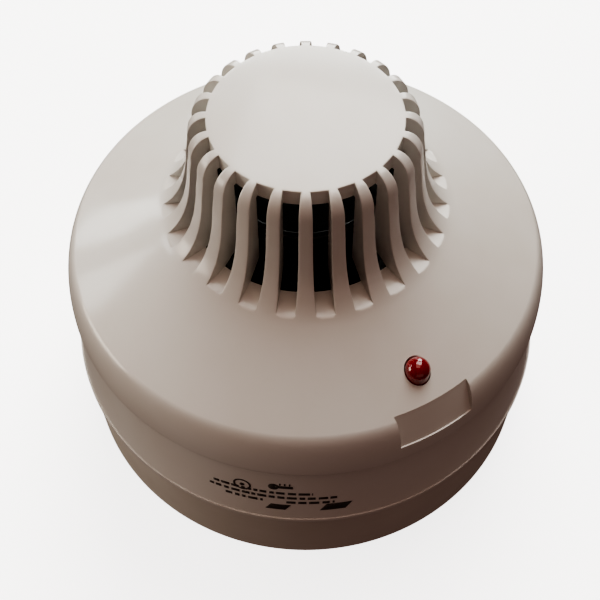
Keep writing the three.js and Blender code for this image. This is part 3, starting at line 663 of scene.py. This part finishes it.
def sleeve_film():
    """Shrink sleeve with a pale band, slightly wrinkled."""
    material, shader = new_material("cell_sleeve_film", Roughness=0.28)
    tree = material.node_tree
    split = tree.nodes.new("ShaderNodeSeparateXYZ")
    tree.links.new(place_coordinates(material), split.inputs[0])
    band = spread(material, split.outputs["X"], 0.0, 1.0, *(x * MM for x in SLEEVE_BAND))
    colour = mixed(material, band, (0.030, 0.050, 0.100), (0.42, 0.44, 0.46))
    feed(material, shader, "Base Color", colour)
    bump(material, shader, noise(material, 2.5, 2, 0.5, stretch=(0.3, 1, 1)), 0.05, 0.3)
    return material


def printing_ink():
    material, shader = new_material("dark_ink")
    mottled(material, shader, 0.5, (0.030, 0.022, 0.018), (0.07, 0.055, 0.045), 3, 0.7, 0.35, 0.75)
    preset(shader, Roughness=0.55)
    return material


def floor_paint():
    material, shader = new_material("pale_floor")
    mottled(material, shader, 300, (0.83, 0.83, 0.83), (0.86, 0.86, 0.86))
    preset(shader, Roughness=0.8, Emission_Color=(1, 1, 1, 1), Emission_Strength=1.6)
    return material


looks = {
    "cover": cover_plastic(),
    "base": base_plastic(),
    "inner_plastic": inner_plastic(),
    "tower": tower_plastic(),
    "black_plastic": black_plastic(),
    "white_plastic": white_plastic(),
    "red_lens": lens_plastic(),
    "red_button": button_plastic(),
    "board": board_lacquer(),
    "steel": metal("rolled_steel", (0.52, 0.52, 0.53), (0.68, 0.68, 0.70), 0.5, 0.22, 0.42),
    "brass": metal("brass", (0.60, 0.42, 0.17), (0.76, 0.56, 0.26), 0.6, 0.22, 0.40),
    "bead": bead_resin(),
    "cell_sleeve": sleeve_film(),
    "ink": printing_ink(),
    "floor": floor_paint(),
}


# ---- Outer cover ----
def wall_r(height):
    """The drum wall's radius at a height above the seam: it flares gently towards the rim."""
    low, high = RIM_H, WAIST_H
    t = (height - low) / (high - low)
    straight = (RIM_R - RIM_STEP) * (1 - t) + WAIST_R * t
    return straight - 4 * WALL_HOLLOW * t * (1 - t)


def smooth_step(t):
    return t * t * (3 - 2 * t)


def shoulder_rows(inset, start, end, count):
    centre_r = SHOULDER_R - SHOULDER_ROUND_R
    rows = []
    for i in range(count + 1):
        turn = start + (end - start) * i / count
        r = centre_r + (SHOULDER_ROUND_R - inset) * math.cos(turn)
        rows.append((r, SHOULDER_Z + (SHOULDER_ROUND_H - inset) * math.sin(turn)))
    return rows


def drum_rows():
    """Outside of the drum, from the seam up to the cone's foot."""
    rim_top = SEAM_Z + RIM_H
    wall = RIM_R - RIM_STEP
    rim = filleted([
        (RIM_R - 2, SEAM_Z, 0), (RIM_R, SEAM_Z, 0.25), (RIM_R, rim_top, 0.14), (wall, rim_top + 0.05, 0.1),
        (wall_r(RIM_H + 1), rim_top + 1, 0), (RIM_R - 2, rim_top + 1, 0),
    ], 3)[1:-2]
    wall_rows = [(wall_r(h), SEAM_Z + h) for h in WALL_HEIGHTS]
    waist = []
    for i in range(6):
        t = i / 6
        r = WAIST_R + (SHOULDER_R - WAIST_R) * smooth_step(t)
        waist.append((r, SEAM_Z + WAIST_H + t * (SHOULDER_H - WAIST_H)))
    return rim + wall_rows + waist + shoulder_rows(0, 0, SHOULDER_TURN, 16)


def bell_point(t):
    start_r = CAGE_FOOT_R + FLARE_START
    mid_z = EDGE_Z - CAGE_MID_DROP
    start_z = cone_z(start_r)
    points = [
        (start_r, start_z), (start_r - FLARE_PULL, cone_z(start_r - FLARE_PULL)),
        (CAGE_MID_R + 1, mid_z - FLARE_TOP_PULL * (mid_z - start_z)), (CAGE_MID_R, mid_z),
    ]
    weights = [(1 - t) ** 3, 3 * t * (1 - t) ** 2, 3 * t * t * (1 - t), t ** 3]
    return tuple(sum(w * p[k] for w, p in zip(weights, points)) for k in (0, 1))


def bell_rows():
    """The cone and the foot of the bell up to the slots' floor, and the ribs from there to the disc."""
    low, high = 0.0, 1.0
    for _ in range(40):
        t = (low + high) / 2
        low, high = (t, high) if bell_point(t)[1] < FLOOR_Z else (low, t)
    foot_t = low
    cone = []
    reach = CONE_FOOT_R - CAGE_FOOT_R - FLARE_START
    for i in range(1, 9):
        r = CONE_FOOT_R - reach * i / 9
        cone.append((r, cone_z(r)))
    foot = [bell_point(foot_t * i / 3) for i in range(4)]
    ribs = [bell_point(foot_t + (1 - foot_t) * i / 18) for i in range(19)]
    neck_z = EDGE_Z - CAGE_NECK_DROP
    for i in range(9):
        turn = math.pi / 2 * i / 8
        r = DISC_R + (CAGE_NECK_R - DISC_R) * math.cos(turn)
        ribs.append((r, neck_z + CAGE_NECK_DROP * math.sin(turn)))
    return cone + foot, ribs


def disc_rows():
    """The disc's shallow crown, from its edge inwards."""
    return [(r, EDGE_Z + DISC_CROWN * (1 - (r / DISC_R) ** 2)) for r in (DISC_R, *DISC_RADII)]


def slot_half_width(z):
    t = min(1, max(0, (z - FLOOR_Z) / CAGE_H))
    return (SLOT_FOOT_W + (SLOT_TOP_W - SLOT_FOOT_W) * t) / 2


class Sector:
    """One rib of the cover with half a slot on each side, as columns of vertices between two azimuths."""

    RIB = range(2, 7)
    LEFT = range(0, 3)
    RIGHT = range(6, 9)
    ALL = range(0, 9)

    def __init__(self):
        self.bm = bmesh.new()
        self.known = {}
        self.pitch = 360 / SLOT_COUNT

    def azimuth(self, r, z, column):
        held_r = min(max(r, DISC_R), CAGE_FOOT_R)
        rib = self.pitch / 2 - math.degrees(math.asin(slot_half_width(z) / held_r))
        side = self.pitch / 2
        places = [-side, -(side + rib) / 2, -rib, -rib / 2, 0, rib / 2, rib, (side + rib) / 2, side]
        return places[column]

    def vertex(self, point, column):
        key = (round(point[0], 4), round(point[1], 4), column if point[0] > TINY else 0)
        if key not in self.known:
            place = round_the_axis(point[0], point[1], self.azimuth(point[0], point[1], column))
            self.known[key] = self.bm.verts.new(place)
        return self.known[key]

    def strip(self, rows, columns):
        """Faces between rows of [r, z] points, over some neighbouring columns."""
        columns = list(columns)
        for low, high in zip(rows, rows[1:]):
            for left, right in zip(columns, columns[1:]):
                corners = [
                    self.vertex(low, left), self.vertex(low, right),
                    self.vertex(high, right), self.vertex(high, left),
                ]
                kept = [v for k, v in enumerate(corners) if v not in corners[:k]]
                self.bm.faces.new(kept)

    def face(self, outline, column):
        self.bm.faces.new([self.vertex(point, column) for point in outline])


def cover_sector():
    sector = Sector()
    outside, ribs = bell_rows()
    outside = drum_rows() + outside
    foot, edge = ribs[0], ribs[-1]
    outside[-1] = foot
    top = [edge, *disc_rows()[1:], (0, EDGE_Z + DISC_CROWN)]
    inner_floor_r = CAGE_FOOT_R - CONE_DROP / CONE_SLOPE
    lip = (inner_floor_r, FLOOR_Z)
    floor = [foot, ((foot[0] + lip[0]) / 2, FLOOR_Z), lip]
    skirt_foot = (DISC_R, SKIRT_Z)
    skirt = [edge, (DISC_R, (EDGE_Z + SKIRT_Z) / 2), skirt_foot]
    rib_top = (BORE_R, SKIRT_Z)
    rib_foot_z = cone_z(BORE_R) - CONE_DROP
    rib_back = [(BORE_R, SKIRT_Z + (rib_foot_z - SKIRT_Z) * i / 8) for i in range(9)]
    under_rib = [rib_back[-1], ((BORE_R + inner_floor_r) / 2, (rib_foot_z + FLOOR_Z) / 2), lip]
    skirt_in_r = DISC_R - DISC_SKIRT_W
    under_z = EDGE_Z - DISC_T
    underside = [skirt_foot, (skirt_in_r, SKIRT_Z), (skirt_in_r, under_z), (9, under_z), (0, under_z)]
    cone_in = [(inner_floor_r + i * (CONE_FOOT_R - 2 - inner_floor_r) / 6) for i in range(1, 7)]
    inside = [lip] + [(r, cone_z(r) - CONE_DROP) for r in cone_in]
    inside += shoulder_rows(COVER_WALL, SHOULDER_TURN * 0.9, 0, 6)
    inside += [(WAIST_R - COVER_WALL, SEAM_Z + WAIST_H), (RIM_R - COVER_WALL, SEAM_Z + RIM_H)]
    inside += [(RIM_R - COVER_WALL, SEAM_Z), outside[0]]
    sector.strip(outside, Sector.ALL)
    sector.strip(ribs, Sector.RIB)
    sector.strip(top, Sector.ALL)
    for side in (Sector.LEFT, Sector.RIGHT):
        sector.strip(floor, side)
        sector.strip(skirt, side)
    sector.strip([skirt_foot, rib_top], Sector.RIB)
    sector.strip(rib_back, Sector.RIB)
    sector.strip(under_rib, Sector.RIB)
    sector.strip(underside, Sector.ALL)
    sector.strip(inside, Sector.ALL)
    wall = [*ribs, *skirt[1:], *rib_back, *under_rib[1:], *floor[1:-1][::-1]]
    for column in (2, 6):
        sector.face(wall, column)
    return sector.bm


def recess_tool():
    """The label recess: its floor is part of a cone round the axis, leaning in from the ledge."""
    bm = bmesh.new()
    ledge_z = SEAM_Z + RECESS_LEDGE_H
    ledge_r = SHOULDER_R - RECESS_LEDGE
    rise = SHOULDER_ROUND_H
    top_r = ledge_r - rise * math.tan(math.radians(RECESS_TILT))
    out_r = SHOULDER_R + 1
    outline = [(ledge_r, ledge_z), (out_r, ledge_z), (out_r, ledge_z + rise), (top_r, ledge_z + rise)]
    columns = []
    turn = Matrix.Rotation(math.radians(LED_AZIMUTH), 3, "Z")
    half = RECESS_W / 2
    sector = Sector()
    azimuths = [sector.azimuth(ledge_r, ledge_z, column) for column in Sector.ALL]
    sector.bm.free()
    for azimuth in (None, *azimuths, None):
        if azimuth is None:
            x = half if columns else -half
            place = [Vector((x, -math.sqrt(r * r - x * x), z)) for r, z in outline]
        else:
            place = [round_the_axis(r, z, azimuth) for r, z in outline]
        columns.append([bm.verts.new(turn @ p) for p in place])
    for left, right in zip(columns, columns[1:]):
        for k in range(4):
            m = (k + 1) % 4
            bm.faces.new((left[k], right[k], right[m], left[m]))
    bm.faces.new(columns[0])
    bm.faces.new(reversed(columns[-1]))
    return finished("recess_tool", bm, looks["cover"])


def lens_hole_tool():
    bm = bmesh.new()
    r = LED_R + LENS_GAP
    z = cone_z(LED_RADIUS)
    outline = [(0, z - 8), (r, z - 8), (r, z + 6), (0, z + 6)]
    add_revolved(bm, outline, 48, on_axis(LED_AZIMUTH, LED_RADIUS))
    return finished("lens_hole_tool", bm, looks["cover"])


def sharpen_recess(cover):
    """Keeps the recess's outline crisp where it meets the round of the shoulder."""
    bm = bmesh.new()
    bm.from_mesh(cover.data)
    for edge in bm.edges:
        if not edge.is_manifold or edge.calc_face_angle(0) < math.radians(CREASE_ANGLE):
            continue
        middle = (edge.verts[0].co + edge.verts[1].co) / 2 / MM
        azimuth = math.degrees(math.atan2(middle.x, -middle.y))
        outside = math.hypot(middle.x, middle.y) > CONE_FOOT_R - COVER_WALL
        near = abs(azimuth - LED_AZIMUTH) < CREASE_SPAN
        if near and middle.z > SHOULDER_Z + CREASE_LIFT and outside:
            edge.smooth = False
    bm.to_mesh(cover.data)
    bm.free()


def outer_cover():
    bm = cover_sector()
    round_edges(bm, 0.22, 48)
    cover = finished("cover_shell", bm, looks["cover"], 50)
    repeated(cover, SLOT_COUNT, looks["cover"], weld=0.01)
    combine(cover, recess_tool(), "DIFFERENCE")
    combine(cover, lens_hole_tool(), "DIFFERENCE")
    soften(cover, 42)
    sharpen_recess(cover)
    even_shading(cover)
    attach(cover, "head")
    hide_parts("outer_cover")


def cover_posts():
    """The three screw posts inside the drum, with tops that slant with the cone."""
    bm = bmesh.new()
    low = SEAM_Z + PLATE_TOP_LIFT + SEAM_GAP
    top = cone_z(COVER_POST_RADIUS) - CONE_DROP / 2
    bore_top = low + POST_BORE_DEPTH
    add_revolved(bm, filleted([
        (POST_BORE_R, low, 0.3), (POST_R, low, 0.3), (POST_R, top, 0),
        (0, top, 0), (0, bore_top, 0), (POST_BORE_R, bore_top, 0),
    ]), 32, on_axis(0, COVER_POST_RADIUS))
    for v in bm.verts:
        if v.co.z > (bore_top + top) / 2:
            v.co.z = cone_z(math.hypot(v.co.x, v.co.y)) - CONE_DROP / 2
    posts = finished("cover_posts", bm, looks["cover"])
    repeated(posts, 3, looks["cover"], first=90)
    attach(posts, "head")


# ---- Mounting base ----
def keyhole_tool(side):
    bm = bmesh.new()
    x = side * KEYHOLE_X
    low, high = KEYHOLE_TOOL_Z
    add_revolved(bm, [(0, low), (KEYHOLE_HEAD_R, low), (KEYHOLE_HEAD_R, high), (0, high)], 48, (x, 0))
    head = finished("keyhole_head", bm, looks["base"])
    bm = bmesh.new()
    half = KEYHOLE_SLOT_W / 2
    ends = sorted((0, side * KEYHOLE_SLOT_L))
    add_block(bm, (x - half, ends[0], low), (x + half, ends[1], high))
    return combine(head, finished("keyhole_slot", bm, looks["base"]), "UNION")


def groove(r, depth):
    """Corners of a round groove in the flat back."""
    return [(r, 0, 0.2), (r, depth, 0.2), (r + GROOVE_W, depth, 0.2), (r + GROOVE_W, 0, 0.2)]


def base_cup():
    """The cup with its bevelled foot, two grooves round the back and a soft inside corner."""
    inner_r = BASE_TOP_R - BASE_WALL
    bm = bmesh.new()
    add_revolved(bm, filleted([
        (0, 0, 0), *groove(INNER_GROOVE_R, INNER_GROOVE_DEPTH), *groove(OUTER_GROOVE_R, OUTER_GROOVE_DEPTH),
        (BASE_R - FOOT_BEVEL, 0, 0.3), (BASE_R, FOOT_BEVEL, 0.4), (BASE_TOP_R, BASE_H, 0.35),
        (inner_r, BASE_H, 0.3), (inner_r, BASE_FLOOR, 0.8), (0, BASE_FLOOR, 0),
    ]), 192)
    return finished("base_cup", bm, looks["base"])


def base_locks():
    """A shelf that a lug turns under, and its stop, three times round."""
    foot_top = PLATE_Z - TAB_DROP + TAB_FOOT_T
    shelf_z = foot_top + LOCK_CLEARANCE
    shelf_r = TAB_R + TAB_ARM_T + LOCK_SIDE_CLEARANCE
    wall_radius = BASE_TOP_R - BASE_WALL / 2
    bm = bmesh.new()
    shelf_from = -SHELF_HALF_ANGLE - LOCK_LEAD
    shelf_to = SHELF_HALF_ANGLE - LOCK_LEAD
    add_sector(bm, shelf_r, wall_radius, shelf_from, shelf_to, shelf_z, shelf_z + SHELF_T)
    shelf = finished("lock_shelf", bm, looks["base"])
    stop_to = -TAB_HALF_ANGLE - LOCK_LEAD
    stop_from = stop_to - 2 * STOP_HALF_ANGLE
    bm = bmesh.new()
    add_sector(bm, shelf_r, wall_radius, stop_from, stop_to, BASE_FLOOR / 2, shelf_z + SHELF_T / 2)
    combine(shelf, finished("lock_stop", bm, looks["base"]), "UNION")
    return repeated(shelf, 3, looks["base"])


def tamper_post():
    bm = bmesh.new()
    top = PLATE_Z - TAMPER_REACH - SEAM_GAP
    add_revolved(bm, filleted([
        (0, BASE_FLOOR / 2, 0), (TAMPER_POST_R, BASE_FLOOR / 2, 0), (TAMPER_POST_R, top, 0.3), (0, top, 0),
    ]), 32, on_axis(TAMPER_AZIMUTH, TAMPER_RADIUS))
    return finished("tamper_post", bm, looks["base"])


def mounting_base():
    base = base_cup()
    combine(base, base_locks(), "UNION")
    combine(base, tamper_post(), "UNION")
    for side in (-1, 1):
        combine(base, keyhole_tool(side), "DIFFERENCE")
    base.name = "base_shell"
    soften(base, 38)
    even_shading(base)
    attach(base, "base")
    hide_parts("mounting_base")


# ---- Lens, tower and bead ----
def alarm_lens():
    flange_top = LED_FLANGE_Z + LED_FLANGE_T
    dome_foot = LED_CENTRE_Z - 0.5
    outline = filleted([
        (0, LED_FLANGE_Z, 0), (LED_FLANGE_R, LED_FLANGE_Z, 0.15), (LED_FLANGE_R, flange_top, 0.2),
        (LED_R, flange_top, 0.15), (LED_R, dome_foot, 0), (0, dome_foot, 0),
    ])[:-1]
    steps = 16
    for i in range(steps):
        turn = math.pi / 2 * i / steps
        outline.append((LED_R * math.cos(turn), LED_CENTRE_Z + LED_R * math.sin(turn)))
    outline.append((0, LED_CENTRE_Z + LED_R))
    bm = bmesh.new()
    add_revolved(bm, outline, 64, on_axis(LED_AZIMUTH, LED_RADIUS))
    lens = finished("alarm_lens", bm, looks["red_lens"], 60)
    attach(lens, "head")
    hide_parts("alarm_led")


def tower_piece(name, node, corners):
    """A turned part of the tower that stands for a CAD node."""
    bm = bmesh.new()
    add_revolved(bm, filleted(corners))
    piece = finished(name, bm, looks["tower"], 38)
    even_shading(piece)
    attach(piece, "head")
    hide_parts(node)


def sensor_tower():
    low, high = (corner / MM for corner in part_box("sensor_tower"))
    inner_r = TOWER_R - TOWER_WALL
    foot_top = low.z + TOWER_FOOT_T
    tower_piece("tower_wall", "sensor_tower", [
        (inner_r, low.z, 0.1), (TOWER_FOOT_R, low.z, 0.2), (TOWER_FOOT_R, foot_top, 0.5),
        (TOWER_R, foot_top, 0.4), (TOWER_R, high.z, 0.12), (inner_r, high.z, 0.2),
    ])
    low, high = (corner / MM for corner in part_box("tower_cap"))
    floor_z = high.z - LID_RIM_H
    under_z = floor_z - LID_T
    plug_r = inner_r - SEAM_GAP
    plug_in_r = plug_r - LID_RIM_W
    rim_in_r = TOWER_R - LID_RIM_W
    tower_piece("tower_lid", "tower_cap", [
        (LID_BORE_R, under_z, 0.1), (plug_in_r, under_z, 0.1), (plug_in_r, low.z, 0.2),
        (plug_r, low.z, 0.3), (plug_r, under_z, 0.1), (TOWER_R, under_z, 0.15), (TOWER_R, high.z, 0.45),
        (rim_in_r, high.z, 0.35), (rim_in_r, floor_z, 0.3), (LID_BORE_R, floor_z, 0.2),
    ])


# ---- Spring, and what is soldered on the board ----
def tamper_spring():
    """A coil round the plunger's stem, made at one length; the real one shortens as the plunger goes in."""
    low, high = (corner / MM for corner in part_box("tamper_spring"))
    wire_r = SPRING_WIRE_R
    coil_r = (high.x - low.x) / 2 - wire_r
    centre = (low + high) / 2
    length = high.z - low.z - 2 * wire_r
    steps = SPRING_STEPS * SPRING_TURNS
    sides = 10
    up = Vector((0, 0, 1))
    bm = bmesh.new()
    rings = []
    for i in range(steps + 1):
        turn = FULL_TURN * SPRING_TURNS * i / steps
        outward = Vector((math.cos(turn), math.sin(turn), 0))
        middle = Vector((centre.x, centre.y, low.z + wire_r + length * i / steps)) + coil_r * outward
        ring = []
        for k in range(sides):
            round_wire = FULL_TURN * k / sides
            offset = math.cos(round_wire) * outward + math.sin(round_wire) * up
            ring.append(bm.verts.new(middle + wire_r * offset))
        rings.append(ring)
    for first, second in zip(rings, rings[1:]):
        for k in range(sides):
            bm.faces.new((first[k], first[k - 1], second[k - 1], second[k]))
    bm.faces.new(rings[0])
    bm.faces.new(reversed(rings[-1]))
    spring = finished("plunger_spring", bm, looks["steel"], 60)
    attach(spring, "head")
    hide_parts("tamper_spring")
    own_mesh(spring)


def add_leg(bm, edge, side, y):
    """A bent flat leg from a chip's side down to the board; side is the way along X that it reaches."""
    root, hip, knee, heel, foot = (edge + side * reach for reach in LEG_BENDS)
    outline = [
        (root, LEG_TOP), (knee, LEG_TOP), (heel, LEG_T), (foot, LEG_T),
        (foot, 0), (knee, 0), (hip, LEG_TOP - LEG_T), (root, LEG_TOP - LEG_T),
    ]
    faces = []
    for along in (y - LEG_W / 2, y + LEG_W / 2):
        faces.append([bm.verts.new((px, along, BOARD_TOP_Z + pz)) for px, pz in outline])
    count = len(outline)
    for k in range(count):
        m = (k + 1) % count
        bm.faces.new((faces[0][k], faces[0][m], faces[1][m], faces[1][k]))
    bm.faces.new(faces[0])
    bm.faces.new(reversed(faces[1]))


def leg_row(name, node, sides, count, inset):
    """A row of legs along one or both sides of a chip."""
    low, high = (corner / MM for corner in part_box(node))
    bm = bmesh.new()
    for side in sides:
        add_leg(bm, low.x if side < 0 else high.x, side, low.y + inset)
    legs = finished(name, bm, looks["steel"], 30)
    in_a_row(legs, count, (0, (high.y - low.y - 2 * inset) / (count - 1), 0), looks["steel"])
    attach(legs, "head")


def chip_resistors():
    """A row of small resistors behind the tower, with bright ends."""
    end = RESISTOR_END
    rows = (
        ("resistor_bodies", "black_plastic", [(end, RESISTOR_L - end)]),
        ("resistor_ends", "steel", [(0, end), (RESISTOR_L - end, RESISTOR_L)]),
    )
    front = RESISTOR_Y - RESISTOR_W / 2
    for name, look, spans in rows:
        bm = bmesh.new()
        for a, b in spans:
            low = (RESISTOR_X + a, front, BOARD_TOP_Z)
            add_block(bm, low, (RESISTOR_X + b, front + RESISTOR_W, BOARD_TOP_Z + RESISTOR_H))
        row = finished(name, bm, looks[look], 30)
        in_a_row(row, RESISTOR_COUNT, (RESISTOR_STEP, 0, 0), looks[look])
        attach(row, "head")


def solder_joints():
    """A small cone of solder under the board below each lead and each pin of the radio's header."""
    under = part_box("circuit_board")[0].z / MM
    places = []
    for node in ("led_lead_left", "led_lead_right", "thermistor_lead_left", "thermistor_lead_right"):
        near, far = (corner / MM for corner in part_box(node))
        places.append(((near.x + far.x) / 2, (near.y + far.y) / 2))
    near, far = (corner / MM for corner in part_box("radio_header"))
    first = near.x + HEADER_PITCH / 2
    places += [(first + i * HEADER_PITCH, (near.y + far.y) / 2) for i in range(HEADER_PINS)]
    cone = [(0, under), (0.95, under), (0.5, under - 0.45), (0.3, under - 0.9), (0, under - 0.95)]
    bm = bmesh.new()
    for place in places:
        add_revolved(bm, cone, 20, place)
    joints = finished("solder_joints", bm, looks["steel"], 60)
    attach(joints, "head")


# ---- Printed marks on the wall: plain shapes, no letters ----
INK_LIFT = 0.02
INK_T = 0.03
INK_STEP = 0.8
RING_STEPS = 40
DOT_STEPS = 20


def wall_point(along, height):
    r = wall_r(height) + INK_LIFT
    return round_the_axis(r, SEAM_Z + height, math.degrees(along / r))


def ink_strip(bm, bottom, top):
    """Adds quads between two lists of (along, height) points, laid on the wall."""
    lower = [bm.verts.new(wall_point(a, h)) for a, h in bottom]
    upper = [bm.verts.new(wall_point(a, h)) for a, h in top]
    for i in range(len(lower) - 1):
        bm.faces.new((lower[i], lower[i + 1], upper[i + 1], upper[i]))


def ink_bar(bm, start, end, height, thickness, slant=0.0):
    count = max(2, round(abs(end - start) / INK_STEP))
    places = [start + (end - start) * i / count for i in range(count + 1)]
    ink_strip(bm, [(a, height) for a in places], [(a + slant, height + thickness) for a in places])


def circle(along, height, r, count):
    turns = [FULL_TURN * i / count for i in range(count + 1)]
    return [(along + r * math.cos(t), height + r * math.sin(t)) for t in turns]


def ink_ring(bm, along, height, r_in, r_out):
    ink_strip(bm, circle(along, height, r_in, RING_STEPS), circle(along, height, r_out, RING_STEPS))


def ink_disc(bm, along, height, r):
    ink_strip(bm, [(along, height)] * (DOT_STEPS + 1), circle(along, height, r, DOT_STEPS))


def wall_marks():
    """A ring with a dot, a thermometer, rows of short bars and two slanted blocks."""
    bm = bmesh.new()
    ink_ring(bm, -13.2, 12.2, 1.5, 1.9)
    ink_disc(bm, -13.2, 12.2, 0.5)
    ink_bar(bm, -6.2, -2.6, 13.0, 0.9)
    ink_disc(bm, -6.6, 13.45, 1.1)
    for tick in (-5.4, -4.4, -3.4):
        ink_bar(bm, tick, tick + 0.3, 14.1, 0.8)
    dice = random.Random(7)
    lines = ((10.6, -19.5, 1.5), (8.9, -20.5, 6.5), (7.2, -17.0, -9.0), (7.2, -4.0, 6.0))
    for height, start, end in lines:
        along = start
        while along < end:
            length = dice.uniform(0.7, 2.4)
            ink_bar(bm, along, min(along + length, end), height, 0.8)
            along += length + dice.uniform(0.4, 0.7)
    ink_bar(bm, -8.5, -4.3, 4.6, 1.9, 1.2)
    ink_bar(bm, 3.0, 8.4, 4.6, 2.3, 1.4)
    bmesh.ops.remove_doubles(bm, verts=bm.verts, dist=TINY)
    marks = finished("wall_marks", bm, looks["ink"], outwards=False)
    face_outwards(marks)
    solid = marks.modifiers.new("ink thickness", "SOLIDIFY")
    solid.thickness = INK_T * MM
    solid.offset = 1
    settle(marks)
    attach(marks, "head")


def face_outwards(piece):
    """Turns each face of an open sheet round the axis away from the axis."""
    bm = bmesh.new()
    bm.from_mesh(piece.data)
    bm.normal_update()
    inward = [f for f in bm.faces if f.normal.xy.dot(f.calc_center_median().xy) < 0]
    bmesh.ops.reverse_faces(bm, faces=inward)
    bm.to_mesh(piece.data)
    bm.free()


# ---- CAD nodes that keep their shape ----
NODE_LOOKS = {
    "inner_plastic": ["rear_housing"],
    "black_plastic": [
        "buzzer_case", "radio_header", "controller_chip", "voltage_regulator", "inductor", "jumper_header",
        "tamper_switch", "pairing_switch",
    ],
    "white_plastic": ["thermistor_holder", "led_spacer", "jumper_cap", "tamper_plunger"],
    "red_button": ["pairing_button"],
    "board": ["circuit_board", "radio_board"],
    "steel": [
        "contact_spring_front", "contact_spring_rear",
        "contact_plate_minus_front", "contact_plate_minus_rear",
        "board_screw_1", "board_screw_2", "board_screw_3", "housing_screw_1", "housing_screw_2",
        "housing_screw_3", "thermistor_lead_left", "thermistor_lead_right", "led_lead_left", "led_lead_right",
        "radio_shield", "crystal",
    ],
    "brass": ["contact_plate_plus_front", "contact_plate_plus_rear", "buzzer_disc", "antenna_wire"],
    "bead": ["thermistor_bead", "reference_thermistor"],
    "cell_sleeve": ["battery_cell_front", "battery_cell_rear", "storage_capacitor"],
}


def dress_nodes():
    """Gives each CAD node that stays the material of its finish."""
    for look, names in NODE_LOOKS.items():
        for name in names:
            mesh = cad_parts[name].data
            mesh.materials.clear()
            mesh.materials.append(looks[look])


# ---- Stage, lights and camera ----
FLOOR_HALF = 20000
FLOOR_DROP = 0.05
MIDDLE = Vector((0, 0, 0.05))


def pale_floor():
    """A bright floor that neither lights the object nor shows in its gloss."""
    bm = bmesh.new()
    signs = ((-1, -1), (1, -1), (1, 1), (-1, 1))
    bm.faces.new([bm.verts.new((x * FLOOR_HALF, y * FLOOR_HALF, -FLOOR_DROP)) for x, y in signs])
    floor = finished("floor", bm, looks["floor"])
    floor.visible_diffuse = False
    floor.visible_glossy = False


def soft_light(name, place, size, power, colour):
    """A rectangular lamp that faces the object's middle; places and sizes are in metres."""
    light = bpy.data.lights.new(name, "AREA")
    light.shape = "RECTANGLE"
    light.size, light.size_y = size
    light.energy = power
    light.color = colour
    lamp = bpy.data.objects.new(name, light)
    lamp.location = place
    lamp.rotation_euler = (MIDDLE - Vector(place)).to_track_quat("-Z", "Y").to_euler()
    bpy.context.scene.collection.objects.link(lamp)


def studio():
    world = bpy.data.worlds.new("studio")
    world.use_nodes = True
    background = world.node_tree.nodes["Background"]
    background.inputs["Color"].default_value = (1.0, 0.66, 0.58, 1)
    background.inputs["Strength"].default_value = 0.10
    bpy.context.scene.world = world
    soft_light("rear_ceiling", (0.20, 0.62, 1.10), (0.9, 0.7), 9.4, (1.0, 1.0, 0.955))
    soft_light("rear_window", (0.10, 1.00, 0.50), (0.9, 0.5), 10.0, (0.95, 1.0, 0.98))
    soft_light("overhead", (0, 0, 1.3), (0.8, 0.8), 3.0, (1.0, 0.72, 0.60))
    soft_light("left_window_low", (-1.0, -0.05, 0.25), (0.5, 0.4), 3.6, (1.0, 0.92, 0.80))
    soft_light("left_pane_rear", (-0.76, 0.55, 0.37), (0.17, 0.15), 0.7, (0.94, 1.0, 1.0))
    soft_light("left_pane_front", (-0.84, 0.27, 0.50), (0.17, 0.15), 0.6, (0.94, 1.0, 1.0))
    soft_light("front_bounce", (0.25, -0.95, 0.10), (1.0, 0.5), 0.5, (1.0, 0.72, 0.64))
    view = bpy.context.scene.view_settings
    view.view_transform = "AgX"
    view.look = "AgX - High Contrast"


FOCAL_LENGTH = 57.4
SIDE_SHIFT = -0.0095
CAMERA_TARGET = Vector((0, 0, 0.02346))
CAMERA_DISTANCE = 0.2308
CAMERA_RISE = 56.81


def camera():
    lens = bpy.data.cameras.new("camera")
    lens.sensor_width = 36
    lens.lens = FOCAL_LENGTH
    lens.shift_x = SIDE_SHIFT
    lens.clip_start = 0.01
    viewer = bpy.data.objects.new("camera", lens)
    rise = math.radians(CAMERA_RISE)
    viewer.location = CAMERA_TARGET + CAMERA_DISTANCE * Vector((0, -math.cos(rise), math.sin(rise)))
    viewer.rotation_euler = (CAMERA_TARGET - viewer.location).to_track_quat("-Z", "Y").to_euler()
    bpy.context.scene.collection.objects.link(viewer)
    bpy.context.scene.camera = viewer


camera()
outer_cover()
cover_posts()
mounting_base()
alarm_lens()
sensor_tower()
tamper_spring()
leg_row("controller_legs", "controller_chip", (-1, 1), 8, 0.9)
leg_row("regulator_legs", "voltage_regulator", (1,), 3, 0.7)
chip_resistors()
solder_joints()
wall_marks()
dress_nodes()
pale_floor()
studio()
